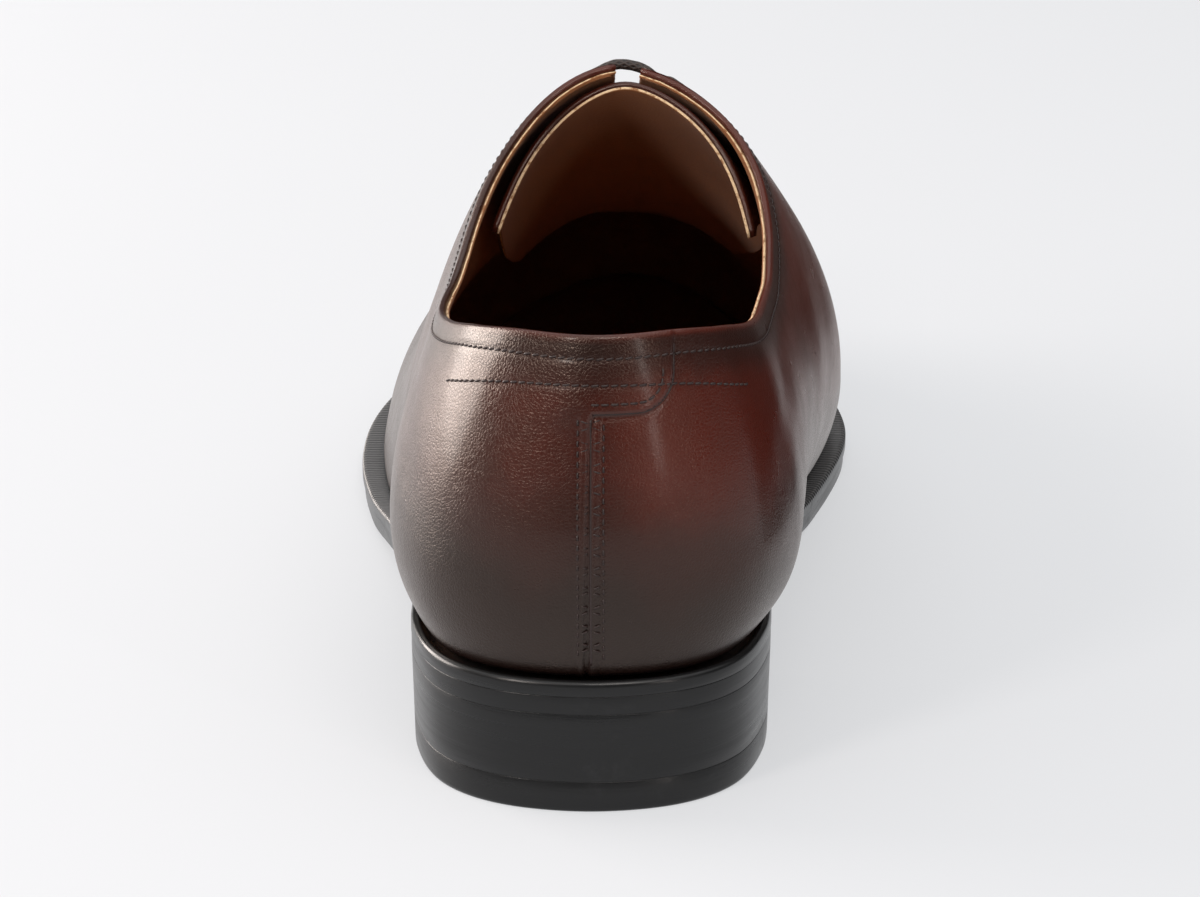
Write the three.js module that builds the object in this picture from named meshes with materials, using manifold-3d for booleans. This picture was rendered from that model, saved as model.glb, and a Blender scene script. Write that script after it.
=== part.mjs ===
// A left whole cut dress shoe: one hollow leather upper on a welted sole with a stacked heel, laced
// through five pairs of eyelets and tied in a bow. Millimetres. The toe points along +Y, +X is the
// inner (medial) side of the foot, +Z is up, and the origin is the middle of the heel's floor face.
import * as THREE from "three";
import { mergeVertices } from "three/addons/utils/BufferGeometryUtils.js";
import Module from "manifold-3d";

const wasm = await Module();
wasm.setup();

// Driving dimensions
const LENGTH = 304;
const BALL_WIDTH = 107;
const INSTEP_RISE = 96;
const HEEL_HEIGHT = 26;
const TOE_SPRING = 11;
const COLLAR_HEIGHT = 64;
const WALL = 2.2;
const CLEARANCE = 0.3;

// Sole
const WELT_REACH = 5.5;
const WELT_BREADTH = 14;
const WELT_THICKNESS = 2.6;
const WELT_STEP = 0.5;
const OUTSOLE_THICKNESS = 3.5;
const INSOLE_THICKNESS = 2.2;
const SOLE = CLEARANCE + WELT_THICKNESS + CLEARANCE + OUTSOLE_THICKNESS;

// Heel
const HEEL_CENTRE = 36;
const HEEL_LENGTH = 73;
const TOP_PIECE_THICKNESS = 6;
const HEEL_TAPER = 0.985;
const BREAST_HOLLOW = 3;

// Throat, tongue and heel tab
const THROAT_TOP = 0.38;
const THROAT_END = 0.6;
const THROAT_OVERRUN = 9;
const GAP_TOP = 5.2;
const GAP_END = 2.2;
const TONGUE_THICKNESS = 1.8;
const TONGUE_SPACE = 0.9;
const TONGUE_RISE = 1.5;
const TONGUE_ARCH = 20;
const TONGUE_END = 0.63;
const TONGUE_GIRTH = 50;
const TONGUE_END_GIRTH = 30;
const TONGUE_LEAN = 2;
const TONGUE_ROUNDING = 0.5;
const TAB_WIDTH = 14;
const TAB_DEPTH = 15;
const TAB_SLOPE = 1;
const TAB_CORNER = 6;
const TAB_THICKNESS = 0.9;

// Lace
const LACE_DIAMETER = 2.1;
const EYELET_PAIRS = 5;
const EYELET_DIAMETER = 3.4;
const EYELET_INSET = 7.5;
const EYELET_FIRST = 0.4;
const EYELET_LAST = 0.565;
const LACE_SIDES = 8;
const BAR_RISE = 0.15;
const TOP_BAR_RISE = 1.8;

// How finely the surfaces are cut into facets
const FACET_LENGTH = 9.5;
const WALL_ROWS = 13;
const SOLE_ROWS = 2;
const HEEL_ROWS = 6;
const TONGUE_ROWS = 13;
const TONGUE_COLUMNS = 14;
const TAB_ROWS = 14;
const TAB_COLUMNS = 10;
const CUT_STEPS = 48;
const THROAT_STEPS = 12;
const EYELET_SIDES = 10;
const BAR_STEPS = 14;
const LOOP_STEPS = 22;
const LACE_END_STEPS = 12;
const TRIM_MARGIN = 5;

// The underside of the upper, seen from the side, as shares of the heel's lift and of the toe spring
const WEDGE = table("length lift spring", [
  [0.0, 1.0, 0],
  [0.1, 0.985, 0],
  [0.2, 0.9, 0],
  [0.28, 0.72, 0],
  [0.36, 0.46, 0],
  [0.44, 0.2, 0],
  [0.52, 0.04, 0],
  [0.58, 0, 0],
  [0.68, 0, 0],
  [0.76, 0, 0.08],
  [0.86, 0, 0.38],
  [1.0, 0, 1],
]);

// The collar's edge seen from the side: share of the length, and height over the heel seat as a
// share of the collar's height at the back
const COLLAR_LINE = table("length rise", [
  [0.0, 1.0],
  [0.03, 0.993],
  [0.07, 0.955],
  [0.12, 0.896],
  [0.17, 0.863],
  [0.22, 0.866],
  [0.27, 0.93],
  [0.32, 1.09],
  [0.355, 1.25],
  [THROAT_TOP, 1.385],
]);

// Sections of the last, from the back of the heel round the outer side, the toe and the inner side.
// turn: the way the section faces, in degrees from the toe. footX, footY: where it meets the sole, as
// shares of half the ball width and of the length. reach: how far the sole's edge stands out, as a
// share of the welt's reach. low and high: the two handles of the section's curve, outwards as a share
// of half the ball width and upwards as a share of the instep's rise. topX, topY, topRise: its crest.
const SECTIONS = table("turn footX footY reach lowOut lowUp highOut highUp topX topY topRise", [
  [180, 0.0, 0.01, 0.47, 0.19, 0.3, 0.13, -0.3, 0.03, 0.046, 0.96],
  [148, -0.29, 0.021, 0.47, 0.2, 0.3, 0.13, -0.3, -0.08, 0.056, 0.97],
  [118, -0.485, 0.052, 0.47, 0.26, 0.29, 0.12, -0.31, -0.17, 0.08, 0.98],
  [97, -0.58, 0.105, 0.47, 0.33, 0.26, 0.11, -0.31, -0.22, 0.12, 1.0],
  [90, -0.6, 0.17, 0.47, 0.36, 0.21, 0.18, -0.3, -0.2, 0.175, 1.04],
  [86, -0.62, 0.245, 0.47, 0.32, 0.15, 0.3, -0.25, -0.08, 0.243, 1.08],
  [80, -0.67, 0.33, 0.55, 0.21, 0.13, 0.62, -0.16, 0.1, 0.325, 1.09],
  [76, -0.755, 0.425, 0.65, 0.16, 0.13, 0.65, -0.02, 0.1, 0.418, 0.955],
  [80, -0.85, 0.52, 0.84, 0.11, 0.11, 0.61, 0, 0.095, 0.512, 0.79],
  [90, -0.9, 0.62, 0.98, 0.07, 0.11, 0.57, 0.01, 0.08, 0.605, 0.655],
  [92, -0.86, 0.72, 1, 0.09, 0.14, 0.56, 0.01, 0.04, 0.71, 0.515],
  [76, -0.665, 0.82, 1, 0.09, 0.14, 0.46, 0.01, 0.04, 0.805, 0.41],
  [56, -0.4, 0.905, 1, 0.08, 0.14, 0.32, 0.01, 0.05, 0.876, 0.345],
  [30, -0.16, 0.95, 1, 0.07, 0.14, 0.22, 0, 0.055, 0.9, 0.325],
  [0, 0.06, 0.966, 1, 0.065, 0.13, 0.2, 0, 0.06, 0.905, 0.32],
  [-30, 0.285, 0.95, 1, 0.07, 0.14, 0.22, 0, 0.055, 0.9, 0.325],
  [-54, 0.5, 0.905, 1, 0.08, 0.14, 0.32, 0.01, 0.05, 0.876, 0.345],
  [-74, 0.72, 0.82, 1, 0.08, 0.15, 0.44, 0.01, 0.04, 0.805, 0.41],
  [-86, 0.87, 0.73, 1, 0.06, 0.16, 0.57, 0.01, 0.04, 0.71, 0.515],
  [-94, 0.89, 0.65, 0.96, 0.24, 0.23, 0.62, 0.01, 0.08, 0.605, 0.655],
  [-103, 0.785, 0.54, 0.76, 0.43, 0.32, 0.64, 0.01, 0.095, 0.512, 0.79],
  [-102, 0.665, 0.43, 0.55, 0.59, 0.37, 0.63, -0.02, 0.1, 0.418, 0.955],
  [-97, 0.615, 0.335, 0.47, 0.56, 0.33, 0.44, -0.09, 0.1, 0.325, 1.09],
  [-92, 0.6, 0.245, 0.47, 0.49, 0.27, 0.26, -0.23, 0.2, 0.243, 1.08],
  [-90, 0.6, 0.17, 0.47, 0.44, 0.22, 0.13, -0.3, 0.29, 0.175, 1.04],
  [-97, 0.58, 0.105, 0.47, 0.4, 0.2, 0.1, -0.31, 0.31, 0.12, 1.0],
  [-118, 0.485, 0.052, 0.47, 0.31, 0.29, 0.11, -0.31, 0.25, 0.08, 0.98],
  [-148, 0.29, 0.021, 0.47, 0.2, 0.3, 0.14, -0.3, 0.14, 0.056, 0.97],
]);

// A row of numbers as an object with the columns' names
function table(names, rows) {
  const columns = names.split(" ");
  return rows.map((row) => Object.fromEntries(columns.map((name, i) => [name, row[i]])));
}

const COUNT = SECTIONS.length;
const TOE = COUNT / 2;
const HALF_BALL = BALL_WIDTH / 2;
const UP = new THREE.Vector3(0, 0, 1);
const CENTRE = new THREE.Vector2(0, 0);

// A smooth curve through a table's rows that doesn't overshoot them
function smooth(rows, column, share) {
  const slope = (i) => (rows[i + 1][column] - rows[i][column]) / (rows[i + 1].length - rows[i].length);
  const last = rows.length - 1;
  const tangent = (i) => {
    if (i === 0) return slope(0);
    if (i === last) return slope(last - 1);
    const before = slope(i - 1);
    const after = slope(i);
    return before * after <= 0 ? 0 : (2 * before * after) / (before + after);
  };
  let i = 0;
  while (i < last - 1 && share > rows[i + 1].length) i += 1;
  const span = rows[i + 1].length - rows[i].length;
  const t = THREE.MathUtils.clamp((share - rows[i].length) / span, 0, 1);
  const start = (1 + 2 * t) * (1 - t) ** 2 * rows[i][column] + t * (1 - t) ** 2 * span * tangent(i);
  const end = t * t * (3 - 2 * t) * rows[i + 1][column] - t * t * (1 - t) * span * tangent(i + 1);
  return start + end;
}

// Height of the upper's underside, and of the collar's edge
function seat(y) {
  const lift = smooth(WEDGE, "lift", y / LENGTH) * (HEEL_HEIGHT - SOLE);
  return SOLE + lift + smooth(WEDGE, "spring", y / LENGTH) * TOE_SPRING;
}

function collar(y) {
  return HEEL_HEIGHT + COLLAR_HEIGHT * smooth(COLLAR_LINE, "rise", y / LENGTH);
}

// The four handles of each section's curve, and the sole's edge beside it
const HANDLES = SECTIONS.map((row) => {
  const turn = THREE.MathUtils.degToRad(row.turn);
  const out = new THREE.Vector3(-Math.sin(turn), Math.cos(turn), 0);
  const foot = new THREE.Vector3(row.footX * HALF_BALL, row.footY * LENGTH, 0);
  const top = new THREE.Vector3(row.topX * HALF_BALL, row.topY * LENGTH, 0);
  foot.z = seat(foot.y);
  top.z = seat(top.y) + row.topRise * INSTEP_RISE;
  const low = foot.clone().addScaledVector(out, row.lowOut * HALF_BALL);
  const high = top.clone().addScaledVector(out, row.highOut * HALF_BALL);
  low.addScaledVector(UP, row.lowUp * INSTEP_RISE);
  high.addScaledVector(UP, row.highUp * INSTEP_RISE);
  const edge = foot.clone().addScaledVector(out, row.reach * WELT_REACH);
  return [foot, low, high, top, edge];
});

// One handle between the sections: s counts sections and goes round the last
function handle(s, which) {
  const i = Math.floor(s);
  const t = s - i;
  const at = (k) => HANDLES[(((i + k) % COUNT) + COUNT) % COUNT][which];
  const weights = [
    (-t + 2 * t * t - t * t * t) / 2,
    (2 - 5 * t * t + 3 * t * t * t) / 2,
    (t + 4 * t * t - 3 * t * t * t) / 2,
    (t * t * t - t * t) / 2,
  ];
  const point = new THREE.Vector3();
  weights.forEach((w, k) => point.addScaledVector(at(k - 1), w));
  return point;
}

// The upper's outer surface: t goes from the sole at 0 to the crest at 1
function skin(s, t) {
  const weights = [(1 - t) ** 3, 3 * t * (1 - t) ** 2, 3 * t * t * (1 - t), t ** 3];
  const point = new THREE.Vector3();
  weights.forEach((w, which) => point.addScaledVector(handle(s, which), w));
  return point;
}

// The places round the last where the surfaces get a column of facets, alike on both sides. They lie
// closer at the top of the facings, where the collar meets the crest.
const FACING_SECTION = 6;
const STATIONS = (() => {
  const gap = (i) => handle(i, 4).distanceTo(handle(i + 1, 4));
  const half = [];
  for (let i = 0; i < TOE; i += 1) {
    const longest = Math.max(gap(i), gap(COUNT - 1 - i));
    const cuts = Math.max(2, Math.round(longest / FACET_LENGTH)) * (i === FACING_SECTION ? 2 : 1);
    for (let k = 0; k < cuts; k += 1) half.push(i + k / cuts);
  }
  const mirrored = half.slice(1).map((s) => COUNT - s);
  return [...half, TOE, ...mirrored.reverse()];
})();

function normal(s, t) {
  const step = 0.02;
  const along = skin(s + step, t).sub(skin(s - step, t));
  const upwards = skin(s, t + step).sub(skin(s, t - step));
  return upwards.cross(along).normalize();
}

// The normal at the crest is shared by the two sides that meet there
function shellNormal(s, t) {
  return t < 1 ? normal(s, t) : normal(s, 1).add(normal(COUNT - s, 1)).normalize();
}

function under(s, t, depth) {
  return skin(s, t).addScaledVector(shellNormal(s, t), -depth);
}

function bisect(low, high, isBelow) {
  for (let k = 0; k < 24; k += 1) {
    const middle = (low + high) / 2;
    if (isBelow(middle)) low = middle;
    else high = middle;
  }
  return (low + high) / 2;
}

// The crest line at a distance from the heel: the section that meets it there, and the point
function crestSection(y) {
  return bisect(5, TOE, (s) => handle(s, 3).y < y);
}

function crest(y) {
  return handle(crestSection(y), 3);
}

// The place on a section that lies a length of leather away from the crest
function fromCrest(s, length) {
  const step = 0.02;
  let t = 1;
  let rest = length;
  while (t > 0) {
    const piece = skin(s, t).distanceTo(skin(s, t - step));
    if (piece > rest) return t - (step * rest) / piece;
    rest -= piece;
    t -= step;
  }
  return 0;
}

// The place on the upper over a point of the plan, on the outer side of the crest or the inner
function locate(x, y) {
  const outer = x <= crest(y).x;
  const fromBack = (s) => (outer ? s : COUNT - s);
  const sectionAt = (t) => fromBack(bisect(4, TOE, (s) => skin(fromBack(s), t).y < y));
  const t = bisect(0.4, 1, (u) => (outer ? skin(sectionAt(u), u).x < x : skin(sectionAt(u), u).x > x));
  return { s: sectionAt(t), t };
}

// Collects facets, then makes one closed geometry of them
class Facets {
  constructor() {
    this.points = [];
  }

  triangle(a, b, c) {
    this.points.push(a, b, c);
  }

  quad(a, b, c, d) {
    this.triangle(a, b, c);
    this.triangle(a, c, d);
  }

  geometry() {
    return tidy(new THREE.BufferGeometry().setFromPoints(this.points));
  }
}

// Merges equal vertices and drops the facets that have no area
function tidy(geometry) {
  geometry.deleteAttribute("normal");
  geometry.deleteAttribute("uv");
  const merged = mergeVertices(geometry, 1e-3);
  const corners = merged.index.array;
  const kept = [];
  for (let i = 0; i < corners.length; i += 3) {
    const [a, b, c] = corners.slice(i, i + 3);
    if (a !== b && b !== c && c !== a) kept.push(a, b, c);
  }
  merged.setIndex(kept);
  return merged;
}

function solid(geometry) {
  const closed = tidy(geometry);
  const vertProperties = closed.attributes.position.array;
  const made = new wasm.Manifold(
    new wasm.Mesh({ numProp: 3, vertProperties, triVerts: new Uint32Array(closed.index.array) }),
  );
  return made;
}

function geometryOf(made) {
  const mesh = made.getMesh();
  const position = new Float32Array(mesh.numVert * 3);
  for (let i = 0; i < mesh.numVert; i += 1) {
    for (let k = 0; k < 3; k += 1) position[3 * i + k] = mesh.vertProperties[mesh.numProp * i + k];
  }
  const geometry = new THREE.BufferGeometry().setAttribute("position", new THREE.BufferAttribute(position, 3));
  geometry.setIndex([...mesh.triVerts]);
  return geometry;
}

// A solid between two grids of points: rows times columns, as axes, point to the first grid's side
function slab(outer, inner) {
  const facets = new Facets();
  const rows = outer.length - 1;
  const columns = outer[0].length - 1;
  for (let i = 0; i < rows; i += 1) {
    for (let j = 0; j < columns; j += 1) {
      facets.quad(outer[i][j], outer[i + 1][j], outer[i + 1][j + 1], outer[i][j + 1]);
      facets.quad(inner[i][j], inner[i][j + 1], inner[i + 1][j + 1], inner[i + 1][j]);
    }
    facets.quad(outer[i][0], inner[i][0], inner[i + 1][0], outer[i + 1][0]);
    facets.quad(outer[i][columns], outer[i + 1][columns], inner[i + 1][columns], inner[i][columns]);
  }
  for (let j = 0; j < columns; j += 1) {
    facets.quad(outer[0][j], outer[0][j + 1], inner[0][j + 1], inner[0][j]);
    facets.quad(outer[rows][j], inner[rows][j], inner[rows][j + 1], outer[rows][j + 1]);
  }
  return facets.geometry();
}

function grid(rows, columns, pointAt) {
  return Array.from({ length: rows + 1 }, (_, i) =>
    Array.from({ length: columns + 1 }, (_unused, j) => pointAt(i / rows, j / columns)),
  );
}

// A straight prism with the outline in the plane of two axes, pushed along the third
function prism(outline, from, to, across, upwards) {
  const along = new THREE.Vector3().crossVectors(across, upwards);
  const extruded = new THREE.ExtrudeGeometry(new THREE.Shape(outline), { depth: to - from, bevelEnabled: false });
  const place = new THREE.Matrix4().makeBasis(across, upwards, along);
  place.setPosition(along.clone().multiplyScalar(from));
  return solid(extruded.applyMatrix4(place));
}

// The hollow upper before it is cut: it runs past the collar's edge and closes along the crest
function upperShell() {
  const columns = STATIONS.length;
  const isPast = (point) => point.y < THROAT_TOP * LENGTH && point.z > collar(point.y) + TRIM_MARGIN;
  const endOf = (s) => {
    const steps = 60;
    const first = Array.from({ length: steps + 1 }, (_, k) => k / steps).find((t) => isPast(skin(s, t)));
    return first ? bisect(first - 1 / steps, first, (t) => !isPast(skin(s, t))) : 1;
  };
  const ends = Array.from({ length: columns }, (_, i) => endOf(STATIONS[i]));
  const half = columns / 2;
  let crestFrom = 0;
  for (let i = 0; i < half; i += 1) if (ends[i] < 1 || ends[(columns - i) % columns] < 1) crestFrom = i + 1;
  const column = (i, depth) =>
    Array.from({ length: WALL_ROWS + 1 }, (_, j) => {
      const s = STATIONS[i];
      const t = (ends[i] * j) / WALL_ROWS;
      const point = under(s, t, depth);
      if (j === 0) point.z = skin(s, 0).z;
      return point;
    });
  const outer = Array.from({ length: columns }, (_, i) => column(i, 0));
  const inner = Array.from({ length: columns }, (_, i) => column(i, WALL));
  for (let i = half + 1; i <= columns - crestFrom; i += 1) {
    outer[i][WALL_ROWS] = outer[columns - i][WALL_ROWS];
    inner[i][WALL_ROWS] = inner[columns - i][WALL_ROWS];
  }
  const facets = new Facets();
  for (let i = 0; i < columns; i += 1) {
    const k = (i + 1) % columns;
    for (let j = 0; j < WALL_ROWS; j += 1) {
      facets.quad(outer[i][j], outer[i][j + 1], outer[k][j + 1], outer[k][j]);
      facets.quad(inner[i][j], inner[k][j], inner[k][j + 1], inner[i][j + 1]);
    }
    facets.quad(outer[i][0], outer[k][0], inner[k][0], inner[i][0]);
    const open = i < crestFrom || i >= columns - crestFrom;
    if (open) facets.quad(outer[i][WALL_ROWS], inner[i][WALL_ROWS], inner[k][WALL_ROWS], outer[k][WALL_ROWS]);
  }
  return solid(facets.geometry());
}

// Everything over the collar's edge, as a prism along X
function collarCutter() {
  const ceiling = HEEL_HEIGHT + 2 * INSTEP_RISE;
  const front = THROAT_TOP * LENGTH;
  const outline = [new THREE.Vector2(-LENGTH / 10, ceiling), new THREE.Vector2(-LENGTH / 10, collar(0))];
  for (let k = 0; k <= CUT_STEPS; k += 1) {
    const y = (front * k) / CUT_STEPS;
    outline.push(new THREE.Vector2(y, collar(y)));
  }
  outline.push(new THREE.Vector2(front, ceiling));
  return prism(outline, -BALL_WIDTH, BALL_WIDTH, new THREE.Vector3(0, 1, 0), UP);
}

function gapAt(y) {
  return THREE.MathUtils.mapLinear(y, THROAT_TOP * LENGTH, THROAT_END * LENGTH, GAP_TOP, GAP_END);
}

// The slot between the facings, narrower towards the toe, with a round end
function throatCutter() {
  const start = THROAT_TOP * LENGTH - THROAT_OVERRUN;
  const end = THROAT_END * LENGTH;
  const side = (sign) =>
    Array.from({ length: THROAT_STEPS + 1 }, (_, k) => {
      const y = THREE.MathUtils.lerp(start, end, k / THROAT_STEPS);
      return new THREE.Vector2(crest(y).x + (sign * gapAt(y)) / 2, y);
    });
  const tip = crest(end).x;
  const round = [0.25, 0.5, 0.75].map((share) => {
    const angle = Math.PI * share;
    return new THREE.Vector2(tip + (Math.cos(angle) * GAP_END) / 2, end + (Math.sin(angle) * GAP_END) / 2);
  });
  const outline = [...side(1), ...round, ...side(-1).reverse()];
  const ceiling = HEEL_HEIGHT + 2 * INSTEP_RISE;
  return prism(outline, HEEL_HEIGHT, ceiling, new THREE.Vector3(1, 0, 0), new THREE.Vector3(0, 1, 0));
}

// The eyelets' places: pairs from the collar towards the toe, the outer side first
const EYELETS = Array.from({ length: EYELET_PAIRS }, (_, k) => {
  const share = EYELET_PAIRS > 1 ? k / (EYELET_PAIRS - 1) : 0;
  const y = LENGTH * THREE.MathUtils.lerp(EYELET_FIRST, EYELET_LAST, share);
  return { y, middle: crest(y).x, half: gapAt(y) / 2 + EYELET_INSET };
});

function eyeletCutter({ y, middle, half }, side) {
  const { s, t } = locate(middle + side * half, y);
  const hole = new THREE.CylinderGeometry(EYELET_DIAMETER / 2, EYELET_DIAMETER / 2, 4 * WALL, EYELET_SIDES);
  const turn = new THREE.Quaternion().setFromUnitVectors(new THREE.Vector3(0, 1, 0), normal(s, t));
  hole.applyQuaternion(turn);
  const middlePoint = skin(s, t);
  hole.translate(middlePoint.x, middlePoint.y, middlePoint.z);
  return solid(hole);
}

// The tab that laps over the back seam onto the inner side, one step thicker than the wall
function heelTab() {
  const fromSection = COUNT + 0.1;
  const toSection = COUNT - 1.6;
  const low = 0.3;
  const high = 0.9;
  const sideOf = (u) => THREE.MathUtils.lerp(fromSection, toSection, u);
  const pointAt = (u, v, depth) => under(sideOf(u), THREE.MathUtils.lerp(low, high, v), depth);
  const layer = (depth) => grid(TAB_ROWS, TAB_COLUMNS, (u, v) => pointAt(u, v, depth));
  const sheet = solid(slab(layer(-TAB_THICKNESS), layer(WALL / 2)));
  const back = handle(0, 3).x;
  const top = HEEL_HEIGHT + COLLAR_HEIGHT;
  const bottom = top - TAB_DEPTH;
  const outline = new THREE.Shape();
  outline.moveTo(back, bottom);
  outline.lineTo(back + TAB_WIDTH - TAB_CORNER, bottom + TAB_SLOPE);
  const side = back + TAB_WIDTH;
  outline.quadraticCurveTo(side, bottom + TAB_SLOPE, side, bottom + TAB_SLOPE + TAB_CORNER);
  outline.lineTo(side, top + TRIM_MARGIN);
  outline.lineTo(back, top + TRIM_MARGIN);
  const toViewer = new THREE.Vector3(1, 0, 0);
  return sheet.intersect(prism(outline.getPoints(5), -HEEL_CENTRE, LENGTH / 10, toViewer, UP));
}

function upper() {
  let wall = upperShell().add(heelTab());
  wall = wall.subtract(collarCutter()).subtract(throatCutter());
  for (const eyelet of EYELETS) {
    wall = wall.subtract(eyeletCutter(eyelet, -1)).subtract(eyeletCutter(eyelet, 1));
  }
  return geometryOf(wall);
}

// The tongue lies under the facings and follows them down both sides, to a length of leather from
// the crest. Its top edge is an arch, its middle is rounded, and its sides lean inwards.
function tongue() {
  const start = THROAT_TOP * LENGTH - TONGUE_RISE;
  const end = TONGUE_END * LENGTH;
  const roundShare = 0.16;
  const layer = (depth) =>
    grid(TONGUE_ROWS, TONGUE_COLUMNS, (u, v) => {
      const across = 2 * v - 1;
      const side = Math.abs(across);
      const y = THREE.MathUtils.lerp(start - TONGUE_ARCH * side ** 2, end, u);
      const section = crestSection(y);
      const s = across > 0 ? COUNT - section : section;
      const t = fromCrest(s, side * THREE.MathUtils.lerp(TONGUE_GIRTH, TONGUE_END_GIRTH, u));
      const rounding = TONGUE_ROUNDING * Math.max(0, 1 - side / roundShare) ** 2;
      return under(s, t, depth + rounding + TONGUE_LEAN * side ** 2);
    });
  const nearest = WALL + TONGUE_SPACE;
  return slab(layer(nearest).reverse(), layer(nearest + TONGUE_THICKNESS).reverse());
}

// Flat layers of the sole are strips from the outer side to the inner one. outline gives the edge's
// place at s, and height the layer's height there.
function soleLayer(lastSection, rows, topOutline, bottomOutline, topHeight, bottomHeight, hollow = 0) {
  const stations = [...STATIONS.filter((s) => s < lastSection - 0.1), lastSection];
  const layer = (outline, height) =>
    grid(stations.length - 1, rows, (u, v) => {
      const s = stations[Math.round(u * (stations.length - 1))];
      const point = outline(s).lerp(outline(COUNT - s), v);
      point.y -= hollow * u ** 8 * 4 * v * (1 - v);
      point.z = height(point.y);
      return point;
    });
  return slab(layer(topOutline, topHeight).reverse(), layer(bottomOutline, bottomHeight).reverse());
}

function insetFoot(s, inset) {
  const foot = handle(s, 0);
  const out = handle(s, 4).sub(foot).setZ(0).normalize();
  return foot.addScaledVector(out, -inset);
}

function edgeInset(s, inset) {
  const edge = handle(s, 4);
  const out = edge.clone().sub(handle(s, 0)).setZ(0).normalize();
  return edge.addScaledVector(out, -inset);
}

function insole() {
  const outline = (s) => insetFoot(s, WALL + 2 * CLEARANCE);
  return soleLayer(TOE, SOLE_ROWS, outline, outline, (y) => seat(y) + INSOLE_THICKNESS, seat);
}

// The welt is a ring under the upper's edge, all the way round
function welt() {
  const columns = STATIONS.length;
  const facets = new Facets();
  const corners = (i) => {
    const s = STATIONS[i % columns];
    const place = (inset, drop) => {
      const point = edgeInset(s, inset);
      point.z = seat(point.y) - CLEARANCE - drop;
      return point;
    };
    const soft = WELT_THICKNESS / 4;
    return [
      place(WELT_BREADTH, 0),
      place(soft, 0),
      place(0, soft),
      place(0, WELT_THICKNESS),
      place(WELT_BREADTH, WELT_THICKNESS),
    ];
  };
  for (let i = 0; i < columns; i += 1) {
    const here = corners(i);
    const next = corners(i + 1);
    here.forEach((corner, k) => {
      const m = (k + 1) % here.length;
      facets.quad(corner, next[k], next[m], here[m]);
    });
  }
  return facets.geometry();
}

function outsole() {
  const outline = (s) => edgeInset(s, WELT_STEP);
  const top = (y) => seat(y) - 2 * CLEARANCE - WELT_THICKNESS;
  return soleLayer(TOE, SOLE_ROWS, outline, outline, top, (y) => seat(y) - SOLE);
}

// The heel's outline at a height, a little narrower at the floor
function heelOutline(s, height) {
  const point = edgeInset(s, WELT_STEP);
  const share = THREE.MathUtils.lerp(HEEL_TAPER, 1, height / (HEEL_HEIGHT - SOLE));
  point.x *= share;
  point.y = HEEL_CENTRE + (point.y - HEEL_CENTRE) * share;
  return point;
}

const BREAST = bisect(2, 7, (s) => handle(s, 4).y < HEEL_LENGTH);

function heelBase() {
  const top = (y) => seat(y) - SOLE - CLEARANCE;
  const bottom = TOP_PIECE_THICKNESS + CLEARANCE;
  const upperOutline = (s) => heelOutline(s, HEEL_HEIGHT - SOLE);
  const lowerOutline = (s) => heelOutline(s, bottom);
  return soleLayer(BREAST, HEEL_ROWS, upperOutline, lowerOutline, top, () => bottom, BREAST_HOLLOW);
}

function heelTopPiece() {
  const upperOutline = (s) => heelOutline(s, TOP_PIECE_THICKNESS);
  const lowerOutline = (s) => heelOutline(s, 0);
  const top = () => TOP_PIECE_THICKNESS;
  return soleLayer(BREAST, HEEL_ROWS, upperOutline, lowerOutline, top, () => 0, BREAST_HOLLOW);
}

// A round cord along a smooth path
function cord(points, steps) {
  const curve = new THREE.CatmullRomCurve3(points);
  const corner = (k) => new THREE.Vector2(LACE_DIAMETER / 2, 0).rotateAround(CENTRE, (2 * Math.PI * k) / LACE_SIDES);
  const section = new THREE.Shape(Array.from({ length: LACE_SIDES }, (_, k) => corner(k)));
  return tidy(new THREE.ExtrudeGeometry(section, { steps, extrudePath: curve, bevelEnabled: false }));
}

// A bar of lace from one eyelet over the facings to the other. rise is how far it bows up over the gap.
function laceBar({ y, middle, half }, rise) {
  const lift = LACE_DIAMETER / 2 + CLEARANCE + BAR_RISE;
  const over = (across, height) => {
    const { s, t } = locate(middle + across * half, y);
    return skin(s, t).addScaledVector(normal(s, t), height);
  };
  const foot = CLEARANCE - WALL;
  const outerEnd = [over(-1, foot), over(-1, 0), over(-0.92, lift * 0.75), over(-0.76, lift)];
  const innerEnd = [over(0.76, lift), over(0.92, lift * 0.75), over(1, 0), over(1, foot)];
  const bowed = [
    [-0.5, 0.45],
    [-0.2, 1],
    [0.2, 1],
    [0.5, 0.45],
  ];
  const top = bowed.map(([across, share]) => over(across, lift + share * rise));
  return cord([...outerEnd, ...top, ...innerEnd], BAR_STEPS);
}

// The bow, in the part's frame, its points chosen by hand: two loops and two ends come out of the
// knot between the second and third bars, cross a bar or pass beside it, and lie on the facings
const KNOT = { place: [5.5, 104.4, 96.8], size: [7, 5, 4], tilt: -36 };
const INNER_LOOP = [
  [9.5, 103.5, 97.9],
  [11.6, 102.0, 100.2],
  [12.2, 99.4, 101.4],
  [12.4, 95.0, 103.9],
  [12.6, 91.0, 105.8],
  [14.0, 89.4, 106.1],
  [16.8, 89.8, 104.1],
  [20.2, 91.6, 100.9],
  [22.8, 94.0, 97.3],
  [25.5, 96.5, 93.9],
  [29.0, 99.5, 88.9],
  [32.0, 103.5, 83.4],
  [31.5, 108.0, 81.4],
  [27.0, 109.5, 83.9],
  [22.0, 108.5, 86.9],
  [17.5, 107.0, 90.4],
  [13.2, 105.6, 93.4],
  [9.6, 105.2, 95.4],
];
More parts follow.
